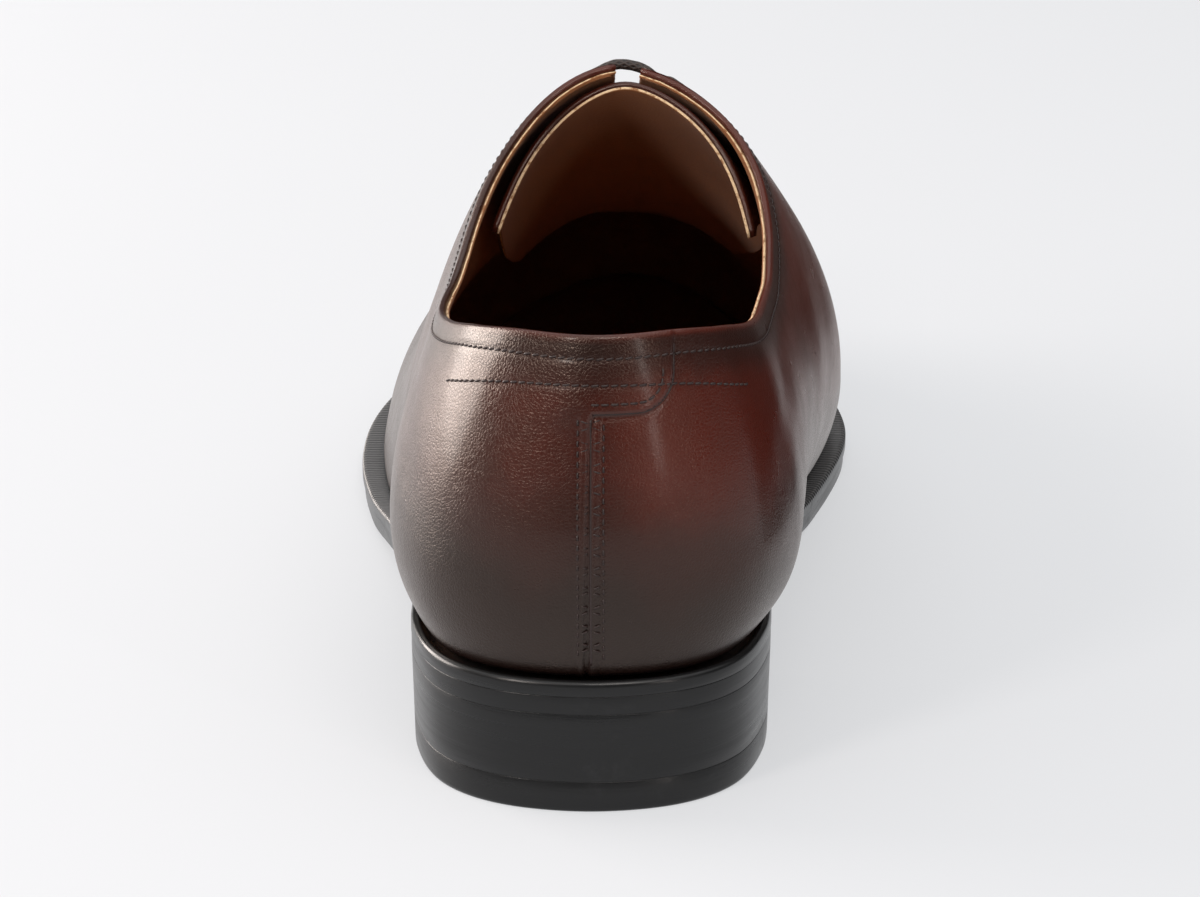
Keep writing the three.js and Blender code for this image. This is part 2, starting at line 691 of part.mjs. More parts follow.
const OUTER_LOOP = [
  [1.4, 103.6, 97.4],
  [-2.6, 102.6, 97.4],
  [-8.0, 103.0, 94.9],
  [-14.0, 105.5, 89.3],
  [-20.0, 110.0, 80.2],
  [-23.0, 115.0, 73.9],
  [-21.5, 119.0, 73.6],
  [-15.5, 117.5, 80.0],
  [-10.5, 113.0, 86.4],
  [-7.6, 109.0, 90.7],
  [-3.4, 106.0, 94.4],
  [1.4, 105.4, 95.0],
];
const INNER_END = [
  [7.6, 107.9, 94.6],
  [10.4, 112.6, 92.2],
  [13.0, 117.4, 86.4],
  [17.2, 121.4, 81.8],
  [20.5, 127.7, 77.6],
  [23.0, 136.0, 73.4],
  [24.0, 144.0, 69.5],
];
const OUTER_END = [
  [3.4, 107.9, 94.6],
  [0.6, 112.8, 93.5],
  [-2.8, 117.4, 86.8],
  [-7.6, 121.5, 82.5],
  [-12.0, 129.0, 75.9],
  [-15.4, 137.0, 70.2],
  [-17.6, 145.0, 65.2],
];

function knot({ place, size, tilt }) {
  const ball = new THREE.SphereGeometry(0.5, 12, 8);
  ball.scale(...size);
  ball.rotateX(THREE.MathUtils.degToRad(tilt));
  ball.translate(...place);
  return tidy(ball);
}

function bowCord(route, steps) {
  return cord(route.map((point) => new THREE.Vector3(...point)), steps);
}

const LACE = { color: 0x2b1a17, roughness: 0.6, metalness: 0 };
const LEATHER = { color: 0x4d2620, roughness: 0.38, metalness: 0 };
const LINING = { color: 0x8a5a3c, roughness: 0.7, metalness: 0 };
const SOLE_BLACK = { color: 0x1b1b1c, roughness: 0.42, metalness: 0 };
const RUBBER = { color: 0x161617, roughness: 0.55, metalness: 0 };

const part = new THREE.Group();
const shoe = new THREE.Group();
shoe.position.y = -HEEL_CENTRE;
part.add(shoe);

function add(group, name, geometry, look) {
  const mesh = new THREE.Mesh(geometry, new THREE.MeshStandardMaterial(look));
  mesh.name = name;
  group.add(mesh);
}

add(shoe, "upper", upper(), LEATHER);
add(shoe, "tongue", tongue(), LEATHER);
add(shoe, "insole", insole(), LINING);
add(shoe, "welt", welt(), SOLE_BLACK);
add(shoe, "outsole", outsole(), SOLE_BLACK);
add(shoe, "heel_base", heelBase(), SOLE_BLACK);
add(shoe, "heel_top_piece", heelTopPiece(), RUBBER);
EYELETS.forEach((eyelet, k) => {
  const rise = k === 0 ? TOP_BAR_RISE : 0;
  add(shoe, `lace_bar_${k + 1}`, laceBar(eyelet, rise), LACE);
});
add(part, "lace_knot", knot(KNOT), LACE);
add(part, "lace_loop_inner", bowCord(INNER_LOOP, LOOP_STEPS), LACE);
add(part, "lace_loop_outer", bowCord(OUTER_LOOP, LOOP_STEPS), LACE);
add(part, "lace_end_inner", bowCord(INNER_END, LACE_END_STEPS), LACE);
add(part, "lace_end_outer", bowCord(OUTER_END, LACE_END_STEPS), LACE);

export default part;
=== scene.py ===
"""A left whole cut dress shoe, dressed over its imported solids.

Metres, in the part's frame: the toe points along +Y, +X is the inner (medial) side of the foot,
+Z is up and the origin is the middle of the heel's floor face. The upper's surface is made again
from the same sections as the solids, much finer, with its rims, seams, stitches and finish.
"""

import math

import bmesh
import bpy
import numpy as np
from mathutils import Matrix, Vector
from mathutils.bvhtree import BVHTree


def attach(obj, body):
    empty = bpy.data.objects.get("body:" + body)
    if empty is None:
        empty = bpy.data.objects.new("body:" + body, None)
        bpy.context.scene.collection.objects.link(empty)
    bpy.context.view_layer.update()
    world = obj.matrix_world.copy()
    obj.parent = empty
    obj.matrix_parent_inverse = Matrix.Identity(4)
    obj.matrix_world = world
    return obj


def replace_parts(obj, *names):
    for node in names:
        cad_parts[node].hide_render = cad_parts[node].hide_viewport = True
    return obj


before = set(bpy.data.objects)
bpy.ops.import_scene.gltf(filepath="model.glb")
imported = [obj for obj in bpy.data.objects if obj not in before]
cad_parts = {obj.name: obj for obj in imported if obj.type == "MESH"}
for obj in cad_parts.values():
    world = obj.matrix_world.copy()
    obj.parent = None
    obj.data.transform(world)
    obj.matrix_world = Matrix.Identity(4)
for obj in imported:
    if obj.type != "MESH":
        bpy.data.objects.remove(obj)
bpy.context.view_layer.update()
MM = 0.001

# Driving dimensions, the same as the solids'
LENGTH = 304 * MM
HALF_BALL = 107 * MM / 2
INSTEP_RISE = 96 * MM
HEEL_HEIGHT = 26 * MM
TOE_SPRING = 11 * MM
COLLAR_HEIGHT = 64 * MM
WALL = 2.2 * MM
CLEARANCE = 0.3 * MM
WELT_REACH = 5.5 * MM
WELT_BREADTH = 14 * MM
WELT_THICKNESS = 2.6 * MM
WELT_STEP = 0.5 * MM
OUTSOLE_THICKNESS = 3.5 * MM
SOLE = CLEARANCE + WELT_THICKNESS + CLEARANCE + OUTSOLE_THICKNESS
HEEL_CENTRE = 36 * MM
HEEL_LENGTH = 73 * MM
TOP_PIECE_THICKNESS = 6 * MM
HEEL_TAPER = 0.985
BREAST_HOLLOW = 3 * MM
THROAT_TOP = 0.38
THROAT_END = 0.6
THROAT_OVERRUN = 9 * MM
GAP_TOP = 5.2 * MM
GAP_END = 2.2 * MM
TONGUE_THICKNESS = 1.8 * MM
TONGUE_SPACE = 0.9 * MM
TONGUE_RISE = 1.5 * MM
TONGUE_ARCH = 20 * MM
TONGUE_END = 0.63
TONGUE_GIRTH = 50 * MM
TONGUE_END_GIRTH = 30 * MM
TONGUE_LEAN = 2 * MM
TONGUE_ROUNDING = 0.5 * MM
TONGUE_ROUND_SHARE = 0.16
TONGUE_BURNISH = 0.3
TAB_WIDTH = 14 * MM
TAB_DEPTH = 15 * MM
TAB_SLOPE = 1 * MM
TAB_CORNER = 6 * MM
TAB_THICKNESS = 0.9 * MM
LACE_DIAMETER = 2.1 * MM
EYELET_PAIRS = 5
EYELET_DIAMETER = 3.4 * MM
EYELET_INSET = 7.5 * MM
EYELET_FIRST = 0.4
EYELET_LAST = 0.565
BAR_RISE = 0.15 * MM
TOP_BAR_RISE = 1.8 * MM

# The underside of the upper, as shares of the heel's lift and of the toe spring
WEDGE = np.array([  # length, lift, spring
    [0.0, 1.0, 0],
    [0.1, 0.985, 0],
    [0.2, 0.9, 0],
    [0.28, 0.72, 0],
    [0.36, 0.46, 0],
    [0.44, 0.2, 0],
    [0.52, 0.04, 0],
    [0.58, 0, 0],
    [0.68, 0, 0],
    [0.76, 0, 0.08],
    [0.86, 0, 0.38],
    [1.0, 0, 1],
])

# The collar's edge: share of the length, and height over the heel seat
COLLAR_LINE = np.array([  # length, rise
    [0.0, 1.0],
    [0.03, 0.993],
    [0.07, 0.955],
    [0.12, 0.896],
    [0.17, 0.863],
    [0.22, 0.866],
    [0.27, 0.93],
    [0.32, 1.09],
    [0.355, 1.25],
    [THROAT_TOP, 1.385],
])

# Sections of the last, from the back of the heel round the outer side, the toe and the inner side
SECTIONS = np.array([  # turn footX footY reach lowOut lowUp highOut highUp topX topY topRise
    [180, 0.0, 0.01, 0.47, 0.19, 0.3, 0.13, -0.3, 0.03, 0.046, 0.96],
    [148, -0.29, 0.021, 0.47, 0.2, 0.3, 0.13, -0.3, -0.08, 0.056, 0.97],
    [118, -0.485, 0.052, 0.47, 0.26, 0.29, 0.12, -0.31, -0.17, 0.08, 0.98],
    [97, -0.58, 0.105, 0.47, 0.33, 0.26, 0.11, -0.31, -0.22, 0.12, 1.0],
    [90, -0.6, 0.17, 0.47, 0.36, 0.21, 0.18, -0.3, -0.2, 0.175, 1.04],
    [86, -0.62, 0.245, 0.47, 0.32, 0.15, 0.3, -0.25, -0.08, 0.243, 1.08],
    [80, -0.67, 0.33, 0.55, 0.21, 0.13, 0.62, -0.16, 0.1, 0.325, 1.09],
    [76, -0.755, 0.425, 0.65, 0.16, 0.13, 0.65, -0.02, 0.1, 0.418, 0.955],
    [80, -0.85, 0.52, 0.84, 0.11, 0.11, 0.61, 0, 0.095, 0.512, 0.79],
    [90, -0.9, 0.62, 0.98, 0.07, 0.11, 0.57, 0.01, 0.08, 0.605, 0.655],
    [92, -0.86, 0.72, 1, 0.09, 0.14, 0.56, 0.01, 0.04, 0.71, 0.515],
    [76, -0.665, 0.82, 1, 0.09, 0.14, 0.46, 0.01, 0.04, 0.805, 0.41],
    [56, -0.4, 0.905, 1, 0.08, 0.14, 0.32, 0.01, 0.05, 0.876, 0.345],
    [30, -0.16, 0.95, 1, 0.07, 0.14, 0.22, 0, 0.055, 0.9, 0.325],
    [0, 0.06, 0.966, 1, 0.065, 0.13, 0.2, 0, 0.06, 0.905, 0.32],
    [-30, 0.285, 0.95, 1, 0.07, 0.14, 0.22, 0, 0.055, 0.9, 0.325],
    [-54, 0.5, 0.905, 1, 0.08, 0.14, 0.32, 0.01, 0.05, 0.876, 0.345],
    [-74, 0.72, 0.82, 1, 0.08, 0.15, 0.44, 0.01, 0.04, 0.805, 0.41],
    [-86, 0.87, 0.73, 1, 0.06, 0.16, 0.57, 0.01, 0.04, 0.71, 0.515],
    [-94, 0.89, 0.65, 0.96, 0.24, 0.23, 0.62, 0.01, 0.08, 0.605, 0.655],
    [-103, 0.785, 0.54, 0.76, 0.43, 0.32, 0.64, 0.01, 0.095, 0.512, 0.79],
    [-102, 0.665, 0.43, 0.55, 0.59, 0.37, 0.63, -0.02, 0.1, 0.418, 0.955],
    [-97, 0.615, 0.335, 0.47, 0.56, 0.33, 0.44, -0.09, 0.1, 0.325, 1.09],
    [-92, 0.6, 0.245, 0.47, 0.49, 0.27, 0.26, -0.23, 0.2, 0.243, 1.08],
    [-90, 0.6, 0.17, 0.47, 0.44, 0.22, 0.13, -0.3, 0.29, 0.175, 1.04],
    [-97, 0.58, 0.105, 0.47, 0.4, 0.2, 0.1, -0.31, 0.31, 0.12, 1.0],
    [-118, 0.485, 0.052, 0.47, 0.31, 0.29, 0.11, -0.31, 0.25, 0.08, 0.98],
    [-148, 0.29, 0.021, 0.47, 0.2, 0.3, 0.14, -0.3, 0.14, 0.056, 0.97],
])
COUNT = len(SECTIONS)
TOE = COUNT // 2
FOOT, TOP, EDGE = 0, 3, 4  # handles by number

# Camera: where it stands, what it aims at and its lens
CAMERA_PLACE = Vector((0.01775, -0.80834, 0.3305))
CAMERA_AIM = Vector((0.0018, 0.0, 0.0585))
CAMERA_LENS = 138.0


def smooth(rows, column, share):
    """A smooth curve through a table's rows that doesn't overshoot them."""
    x, y = rows[:, 0], rows[:, column]
    slope = np.diff(y) / np.diff(x)
    product = slope[:-1] * slope[1:]
    inner = np.where(product <= 0, 0, 2 * product / np.where(product <= 0, 1, slope[:-1] + slope[1:]))
    tangent = np.concatenate([slope[:1], inner, slope[-1:]])
    share = np.asarray(share, float)
    i = np.clip(np.searchsorted(x, share, side="left") - 1, 0, len(x) - 2)
    span = x[i + 1] - x[i]
    t = np.clip((share - x[i]) / span, 0, 1)
    start = (1 + 2 * t) * (1 - t) ** 2 * y[i] + t * (1 - t) ** 2 * span * tangent[i]
    end = t * t * (3 - 2 * t) * y[i + 1] - t * t * (1 - t) * span * tangent[i + 1]
    return start + end


def ease(low, high, value):
    """0 at low, 1 at high, smooth between them."""
    t = np.clip((np.asarray(value, float) - low) / (high - low), 0, 1)
    return t * t * (3 - 2 * t)


def seat(y):
    """Height of the upper's underside. y is in the part's frame."""
    share = (np.asarray(y) + HEEL_CENTRE) / LENGTH
    return SOLE + smooth(WEDGE, 1, share) * (HEEL_HEIGHT - SOLE) + smooth(WEDGE, 2, share) * TOE_SPRING


def collar(y):
    return HEEL_HEIGHT + COLLAR_HEIGHT * smooth(COLLAR_LINE, 1, (np.asarray(y) + HEEL_CENTRE) / LENGTH)


def section_handles():
    """The four handles of each section's curve and the sole's edge beside it, as COUNT x 5 x 3."""
    turn, foot_x, foot_y, reach, low_out, low_up, high_out, high_up, top_x, top_y, top_rise = SECTIONS.T
    angle = np.radians(turn)
    out = np.stack([-np.sin(angle), np.cos(angle), np.zeros(COUNT)], 1)
    foot = np.stack([foot_x * HALF_BALL, foot_y * LENGTH - HEEL_CENTRE, np.zeros(COUNT)], 1)
    top = np.stack([top_x * HALF_BALL, top_y * LENGTH - HEEL_CENTRE, np.zeros(COUNT)], 1)
    foot[:, 2] = seat(foot[:, 1])
    top[:, 2] = seat(top[:, 1]) + top_rise * INSTEP_RISE
    low = foot + out * (low_out * HALF_BALL)[:, None]
    high = top + out * (high_out * HALF_BALL)[:, None]
    low[:, 2] += low_up * INSTEP_RISE
    high[:, 2] += high_up * INSTEP_RISE
    edge = foot + out * (reach * WELT_REACH)[:, None]
    return np.stack([foot, low, high, top, edge], 1)


HANDLES = section_handles()


def handle(s, which):
    """One handle between the sections: s counts sections and goes round the last."""
    s = np.asarray(s, float)
    i = np.floor(s).astype(int)
    t = (s - i)[..., None]
    weights = [
        (-t + 2 * t**2 - t**3) / 2,
        (2 - 5 * t**2 + 3 * t**3) / 2,
        (t + 4 * t**2 - 3 * t**3) / 2,
        (t**3 - t**2) / 2,
    ]
    return sum(w * HANDLES[(i + k - 1) % COUNT, which] for k, w in enumerate(weights))


def skin(s, t):
    """The upper's outer surface: t goes from the sole at 0 to the crest at 1."""
    s, t = np.broadcast_arrays(np.asarray(s, float), np.asarray(t, float))
    t = t[..., None]
    weights = [(1 - t) ** 3, 3 * t * (1 - t) ** 2, 3 * t**2 * (1 - t), t**3]
    return sum(w * handle(s, k) for k, w in enumerate(weights))


def unit(v):
    return v / np.maximum(np.linalg.norm(v, axis=-1, keepdims=True), 1e-12)


def travelled_along(line):
    """How far along a line each of its points lies."""
    return np.concatenate([[0], np.cumsum(np.linalg.norm(np.diff(line, axis=0), axis=1))])


def normal(s, t):
    step = 0.02
    along = skin(s + step, t) - skin(s - step, t)
    upwards = skin(s, t + step) - skin(s, t - step)
    return unit(np.cross(upwards, along))


def shell_normal(s, t):
    """The normal at the crest is shared by the two sides that meet there."""
    s, t = np.broadcast_arrays(np.asarray(s, float), np.asarray(t, float))
    one = normal(s, t)
    both = unit(normal(s, 1.0) + normal(COUNT - s, 1.0))
    return np.where((t >= 1)[..., None], both, one)


def bisect(low, high, is_below, rounds=26):
    """Arrays low and high close in on where is_below changes."""
    low, high = np.array(low, float), np.array(high, float)
    for _ in range(rounds):
        middle = (low + high) / 2
        below = is_below(middle)
        low = np.where(below, middle, low)
        high = np.where(below, high, middle)
    return (low + high) / 2


def crest_section(y):
    """The section that meets the crest at a distance along the foot."""
    y = np.asarray(y, float)
    return bisect(np.full(y.shape, 5.0), np.full(y.shape, float(TOE)), lambda m: handle(m, TOP)[..., 1] < y)


def crest(y):
    return handle(crest_section(y), TOP)


def from_crest(s, length):
    """The places on sections that lie lengths of leather away from the crest."""
    steps = np.linspace(1, 0, 51)
    pieces = np.linalg.norm(np.diff(skin(s[..., None], steps), axis=-2), axis=-1)
    travelled = np.concatenate([np.zeros((*s.shape, 1)), np.cumsum(pieces, axis=-1)], -1)
    found = [np.interp(d, line, steps) for d, line in zip(length.ravel(), travelled.reshape(-1, 51))]
    return np.array(found).reshape(s.shape)


def locate(x, y):
    """The place on the upper over points of the plan, on the outer side of the crest or the inner."""
    x, y = np.broadcast_arrays(np.asarray(x, float), np.asarray(y, float))
    outer = x <= crest(y)[..., 0]
    side = np.where(outer, 1.0, -1.0)

    def from_back(m):
        return np.where(outer, m, COUNT - m)

    def section_at(t):
        low, high = np.full(x.shape, 4.0), np.full(x.shape, float(TOE))
        return from_back(bisect(low, high, lambda m: skin(from_back(m), t)[..., 1] < y, 20))

    low, high = np.full(x.shape, 0.4), np.ones(x.shape)
    t = bisect(low, high, lambda u: (skin(section_at(u), u)[..., 0] - x) * side < 0, 20)
    return section_at(t), t


def route(points, spacing):
    """A centripetal curve through points, cut into equal steps of about the spacing."""
    p = np.asarray(points, float)
    p = np.vstack([2 * p[0] - p[1], p, 2 * p[-1] - p[-2]])
    knots = np.concatenate([[0], np.cumsum(np.sqrt(np.linalg.norm(np.diff(p, axis=0), axis=1)))])
    made = []
    for i in range(1, len(p) - 2):
        k0, k1, k2, k3 = knots[i - 1 : i + 3]
        t = np.linspace(k1, k2, 24, endpoint=False)[:, None]
        a1 = (k1 - t) / (k1 - k0) * p[i - 1] + (t - k0) / (k1 - k0) * p[i]
        a2 = (k2 - t) / (k2 - k1) * p[i] + (t - k1) / (k2 - k1) * p[i + 1]
        a3 = (k3 - t) / (k3 - k2) * p[i + 1] + (t - k2) / (k3 - k2) * p[i + 2]
        b1 = (k2 - t) / (k2 - k0) * a1 + (t - k0) / (k2 - k0) * a2
        b2 = (k3 - t) / (k3 - k1) * a2 + (t - k1) / (k3 - k1) * a3
        made.append((k2 - t) / (k2 - k1) * b1 + (t - k1) / (k2 - k1) * b2)
    return respaced(np.vstack([*made, p[-2:-1]]), spacing)


def respaced(line, spacing):
    along = travelled_along(line)
    count = max(2, round(along[-1] / spacing) + 1)
    wanted = np.linspace(0, along[-1], count)
    return np.stack([np.interp(wanted, along, line[:, k]) for k in range(line.shape[1])], 1)


def mesh_piece(name, vertices, faces, materials, slots=None):
    """A mesh object of plain arrays, riding on the shoe."""
    mesh = bpy.data.meshes.new(name)
    mesh.from_pydata([tuple(v) for v in vertices], [], [tuple(int(i) for i in f) for f in faces])
    for material in materials:
        mesh.materials.append(material)
    if slots is not None:
        mesh.polygons.foreach_set("material_index", np.asarray(slots, np.int32))
    mesh.polygons.foreach_set("use_smooth", np.ones(len(mesh.polygons), bool))
    mesh.update()
    piece = bpy.data.objects.new(name, mesh)
    bpy.context.scene.collection.objects.link(piece)
    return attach(piece, "root")


def keep_values(piece, name, values):
    """Values at a piece's vertices, for its material to read."""
    attribute = piece.data.attributes.new(name, "FLOAT", "POINT")
    attribute.data.foreach_set("value", np.asarray(values, np.float32))


def grid_faces(rows, columns, start=0, closed=False):
    """Quads of a grid of points, row by row, closed round its columns if asked."""
    i = np.arange(rows - 1)[:, None]
    j = np.arange(columns if closed else columns - 1)[None, :]
    k = (j + 1) % columns
    quads = [i * columns + j, i * columns + k, (i + 1) * columns + k, (i + 1) * columns + j]
    return start + np.stack([np.broadcast_to(q, (rows - 1, j.size)) for q in quads], -1).reshape(-1, 4)


# A braided lace: its strands each way, how far along they come round, and how far they stand out
BRAID_STRANDS = 4
BRAID_PITCH = 4.6 * MM
BRAID_RIDGE = 0.035


def tube(line, radius, sides, ridge=0.0):
    """Rings along a line and their quads, with end caps. The frame turns with the line."""
    tangent = unit(np.gradient(line, axis=0))
    side = unit(np.cross(tangent[0], [0.3, 0.2, 1.0]))
    rings = []
    travelled = travelled_along(line)
    angle = np.linspace(0, 2 * np.pi, sides, endpoint=False)
    for i, here in enumerate(line):
        side = unit(side - tangent[i] * np.dot(side, tangent[i]))
        other = np.cross(tangent[i], side)
        phase = travelled[i] * 2 * np.pi / BRAID_PITCH
        braid = np.sin(BRAID_STRANDS * angle + phase) * np.sin(BRAID_STRANDS * angle - phase)
        r = (radius[i] if np.ndim(radius) else radius) * (1 + ridge * braid)
        rings.append(here + (np.cos(angle) * r)[:, None] * side + (np.sin(angle) * r)[:, None] * other)
    vertices = np.vstack([*rings, line[:1], line[-1:]])
    faces = [tuple(f) for f in grid_faces(len(line), sides, closed=True)]
    first, last = len(vertices) - 2, len(vertices) - 1
    base = (len(line) - 1) * sides
    for k in range(sides):
        m = (k + 1) % sides
        faces.append((first, m, k))
        faces.append((last, base + k, base + m))
    return vertices, faces, travelled


def joined(parts):
    """Several (vertices, faces) as one."""
    vertices, faces, start = [], [], 0
    for v, f in parts:
        vertices.append(np.asarray(v))
        faces.extend(tuple(i + start for i in face) for face in f)
        start += len(v)
    return np.vstack(vertices), faces


def node_group(name, inputs, outputs):
    """An empty shader group with its sockets, and its two ends."""
    group = bpy.data.node_groups.new(name, "ShaderNodeTree")
    for socket_name, kind, value in inputs:
        socket = group.interface.new_socket(socket_name, in_out="INPUT", socket_type=kind)
        if value is not None:
            socket.default_value = value
    for socket_name, kind in outputs:
        group.interface.new_socket(socket_name, in_out="OUTPUT", socket_type=kind)
    return group, group.nodes.new("NodeGroupInput"), group.nodes.new("NodeGroupOutput")


class Nodes:
    """Short names for the shader nodes used here."""

    def __init__(self, tree):
        self.tree = tree

    def node(self, kind, **settings):
        made = self.tree.nodes.new(kind)
        for key, value in settings.items():
            setattr(made, key, value)
        return made

    def link(self, value, socket):
        if isinstance(value, bpy.types.NodeSocket):
            self.tree.links.new(value, socket)
        else:
            socket.default_value = value

    def math(self, operation, *values, clamp=False):
        made = self.node("ShaderNodeMath", operation=operation, use_clamp=clamp)
        for value, socket in zip(values, made.inputs):
            self.link(value, socket)
        return made.outputs[0]

    def mix(self, factor, a, b):
        made = self.node("ShaderNodeMix", data_type="RGBA")
        self.link(factor, made.inputs["Factor"])
        self.link(a, made.inputs["A"])
        self.link(b, made.inputs["B"])
        return made.outputs["Result"]

    def ramp(self, value, low, high):
        made = self.node("ShaderNodeMapRange", interpolation_type="SMOOTHSTEP")
        self.link(value, made.inputs["Value"])
        made.inputs["From Min"].default_value = low
        made.inputs["From Max"].default_value = high
        return made.outputs["Result"]

    def noise(self, vector, scale, detail=2.0, roughness=0.5):
        made = self.node("ShaderNodeTexNoise")
        self.link(vector, made.inputs["Vector"])
        self.link(scale, made.inputs["Scale"])
        made.inputs["Detail"].default_value = detail
        made.inputs["Roughness"].default_value = roughness
        return made.outputs["Fac"]

    def cells(self, vector, scale):
        made = self.node("ShaderNodeTexVoronoi", feature="DISTANCE_TO_EDGE")
        self.link(vector, made.inputs["Vector"])
        self.link(scale, made.inputs["Scale"])
        return made.outputs["Distance"]

    def bump(self, height, strength, distance, before=None):
        made = self.node("ShaderNodeBump")
        self.link(height, made.inputs["Height"])
        self.link(strength, made.inputs["Strength"])
        made.inputs["Distance"].default_value = distance
        if before is not None:
            self.link(before, made.inputs["Normal"])
        return made.outputs["Normal"]

    def place(self):
        return self.node("ShaderNodeTexCoord").outputs["Object"]


def grain_group():
    """Fine calf grain: small pebbles in a net of shallow pores, and their height."""
    inputs = [("Place", "NodeSocketVector", None), ("Scale", "NodeSocketFloat", 1400.0)]
    group, start, end = node_group("calf_grain", inputs, [("Height", "NodeSocketFloat")])
    n = Nodes(group)
    place, scale = start.outputs["Place"], start.outputs["Scale"]
    warp = n.node("ShaderNodeVectorMath", operation="MULTIPLY_ADD")
    soft = n.node("ShaderNodeTexNoise")
    n.link(place, soft.inputs["Vector"])
    soft.inputs["Scale"].default_value = 420.0
    n.link(soft.outputs["Color"], warp.inputs[0])
    warp.inputs[1].default_value = (0.0007, 0.0007, 0.0007)
    n.link(place, warp.inputs[2])
    pebbles = n.math("SQRT", n.cells(warp.outputs[0], scale))
    pores = n.noise(place, n.math("MULTIPLY", scale, 1.7), 3.0, 0.6)
    height = n.math("ADD", n.math("MULTIPLY", pebbles, 0.75), n.math("MULTIPLY", pores, 0.45))
    n.link(height, end.inputs["Height"])
    return group


def streak_group():
    """Faint lines along the edge of a waxed sole or heel, and small scuffs."""
    inputs = [("Place", "NodeSocketVector", None), ("Pitch", "NodeSocketFloat", 900.0)]
    outputs = [("Lines", "NodeSocketFloat"), ("Scuffs", "NodeSocketFloat")]
    group, start, end = node_group("edge_streaks", inputs, outputs)
    n = Nodes(group)
    stretch = n.node("ShaderNodeVectorMath", operation="MULTIPLY")
    n.link(start.outputs["Place"], stretch.inputs[0])
    stretch.inputs[1].default_value = (0.05, 0.05, 1.0)
    n.link(n.noise(stretch.outputs[0], start.outputs["Pitch"], 4.0, 0.65), end.inputs["Lines"])
    scuffs = n.noise(start.outputs["Place"], 90.0, 5.0, 0.7)
    n.link(n.ramp(scuffs, 0.56, 0.74), end.inputs["Scuffs"])
    return group


GRAIN = grain_group()
STREAKS = streak_group()


def material(name):
    """A material with a Principled shader: its nodes and the shader."""
    made = bpy.data.materials.new(name)
    made.use_nodes = True
    n = Nodes(made.node_tree)
    shader = made.node_tree.nodes["Principled BSDF"]
    return made, n, shader


def grain_of(n, place, scale):
    group = n.node("ShaderNodeGroup")
    group.node_tree = GRAIN
    n.link(place, group.inputs["Place"])
    group.inputs["Scale"].default_value = scale
    return group.outputs["Height"]


# Leather: open (also where light is painted high on the quarters), darker, and nearly black where burnished
# and where shade is painted, and the warm tint of its gloss
BURGUNDY = (0.066, 0.0095, 0.005, 1)
OXBLOOD = (0.023, 0.0052, 0.0034, 1)
BURNISHED_AND_SHADED = (0.0095, 0.0045, 0.0036, 1)
WARM_GLOSS = (1.0, 0.84, 0.74, 1)


def patina_leather():
    """Burnished calf: oxblood that opens to burgundy on the quarters and darkens at the edges; its darkness
    values also carry painted shade low down and down the middle of the back, and painted light high on the
    quarters.
    """
    made, n, shader = material("patina_calf")
    place = n.place()
    # Darkness per vertex: real burnish, plus painted shade low down and down the back's middle and painted
    # light high on the quarters.
    burnish_and_shade = n.node("ShaderNodeAttribute", attribute_name="burnish_and_shade").outputs["Fac"]
    clouds = n.noise(place, 26.0, 3.0, 0.55)
    mottle = n.noise(place, 160.0, 4.0, 0.6)
    shade = n.math("ADD", burnish_and_shade, n.math("MULTIPLY", n.math("SUBTRACT", clouds, 0.5), 0.5))
    shade = n.math("ADD", shade, n.math("MULTIPLY", n.math("SUBTRACT", mottle, 0.5), 0.22), clamp=True)
    opened = n.mix(n.ramp(shade, 0.0, 0.5), BURGUNDY, OXBLOOD)
    colour = n.mix(n.ramp(shade, 0.45, 1.0), opened, BURNISHED_AND_SHADED)
    n.link(colour, shader.inputs["Base Color"])
    height = grain_of(n, place, 1500.0)
    rough = n.math("ADD", 0.3, n.math("MULTIPLY", n.math("SUBTRACT", mottle, 0.5), 0.16))
    n.link(rough, shader.inputs["Roughness"])
    folds = n.noise(place, 75.0, 2.0, 0.5)
    wide = n.bump(folds, 0.07, 0.004)
    n.link(n.bump(height, 0.5, 0.0002, wide), shader.inputs["Normal"])
    shader.inputs["Coat Weight"].default_value = 0.22
    shader.inputs["Coat Roughness"].default_value = 0.18
    shader.inputs["Coat Tint"].default_value = WARM_GLOSS
    shader.inputs["Specular Tint"].default_value = WARM_GLOSS
    shader.inputs["IOR"].default_value = 1.42
    return made


def lining_leather():
    """Tan calf lining, a little suede where it has been rubbed."""
    made, n, shader = material("tan_lining")
    place = n.place()
    mottle = n.noise(place, 120.0, 4.0, 0.65)
    n.link(n.mix(mottle, (0.22, 0.082, 0.027, 1), (0.32, 0.128, 0.048, 1)), shader.inputs["Base Color"])
    n.link(n.bump(grain_of(n, place, 1100.0), 0.35, 0.0003), shader.inputs["Normal"])
    n.link(n.math("ADD", 0.55, n.math("MULTIPLY", mottle, 0.2)), shader.inputs["Roughness"])
    shader.inputs["Specular IOR Level"].default_value = 0.3
    shader.inputs["Sheen Weight"].default_value = 0.06
    return made


def raw_edge():
    """The cut edge of the lining: pale fibres along it."""
    made, n, shader = material("raw_lining_edge")
    place = n.place()
    fibres = n.noise(place, 1900.0, 3.0, 0.7)
    rubbed = n.ramp(n.noise(place, 620.0, 3.0, 0.7), 0.48, 0.68)
    pale = n.mix(fibres, (0.50, 0.31, 0.15, 1), (0.86, 0.68, 0.45, 1))
    n.link(n.mix(rubbed, pale, (0.24, 0.105, 0.04, 1)), shader.inputs["Base Color"])
    n.link(n.bump(fibres, 0.6, 0.0003), shader.inputs["Normal"])
    shader.inputs["Roughness"].default_value = 0.85
    return made


# Waxed black: its colour, its scuffs and the lighter grey tops of the welt's ribs
BLACK = (0.0068, 0.0070, 0.0074, 1)
SCUFFED = tuple(3.2 * c for c in BLACK[:3]) + (1,)
RIB_TOP_GREY = (0.13, 0.13, 0.132, 1)
BLACK_ROUGHNESS = 0.3
STREAK_PITCH = 900.0


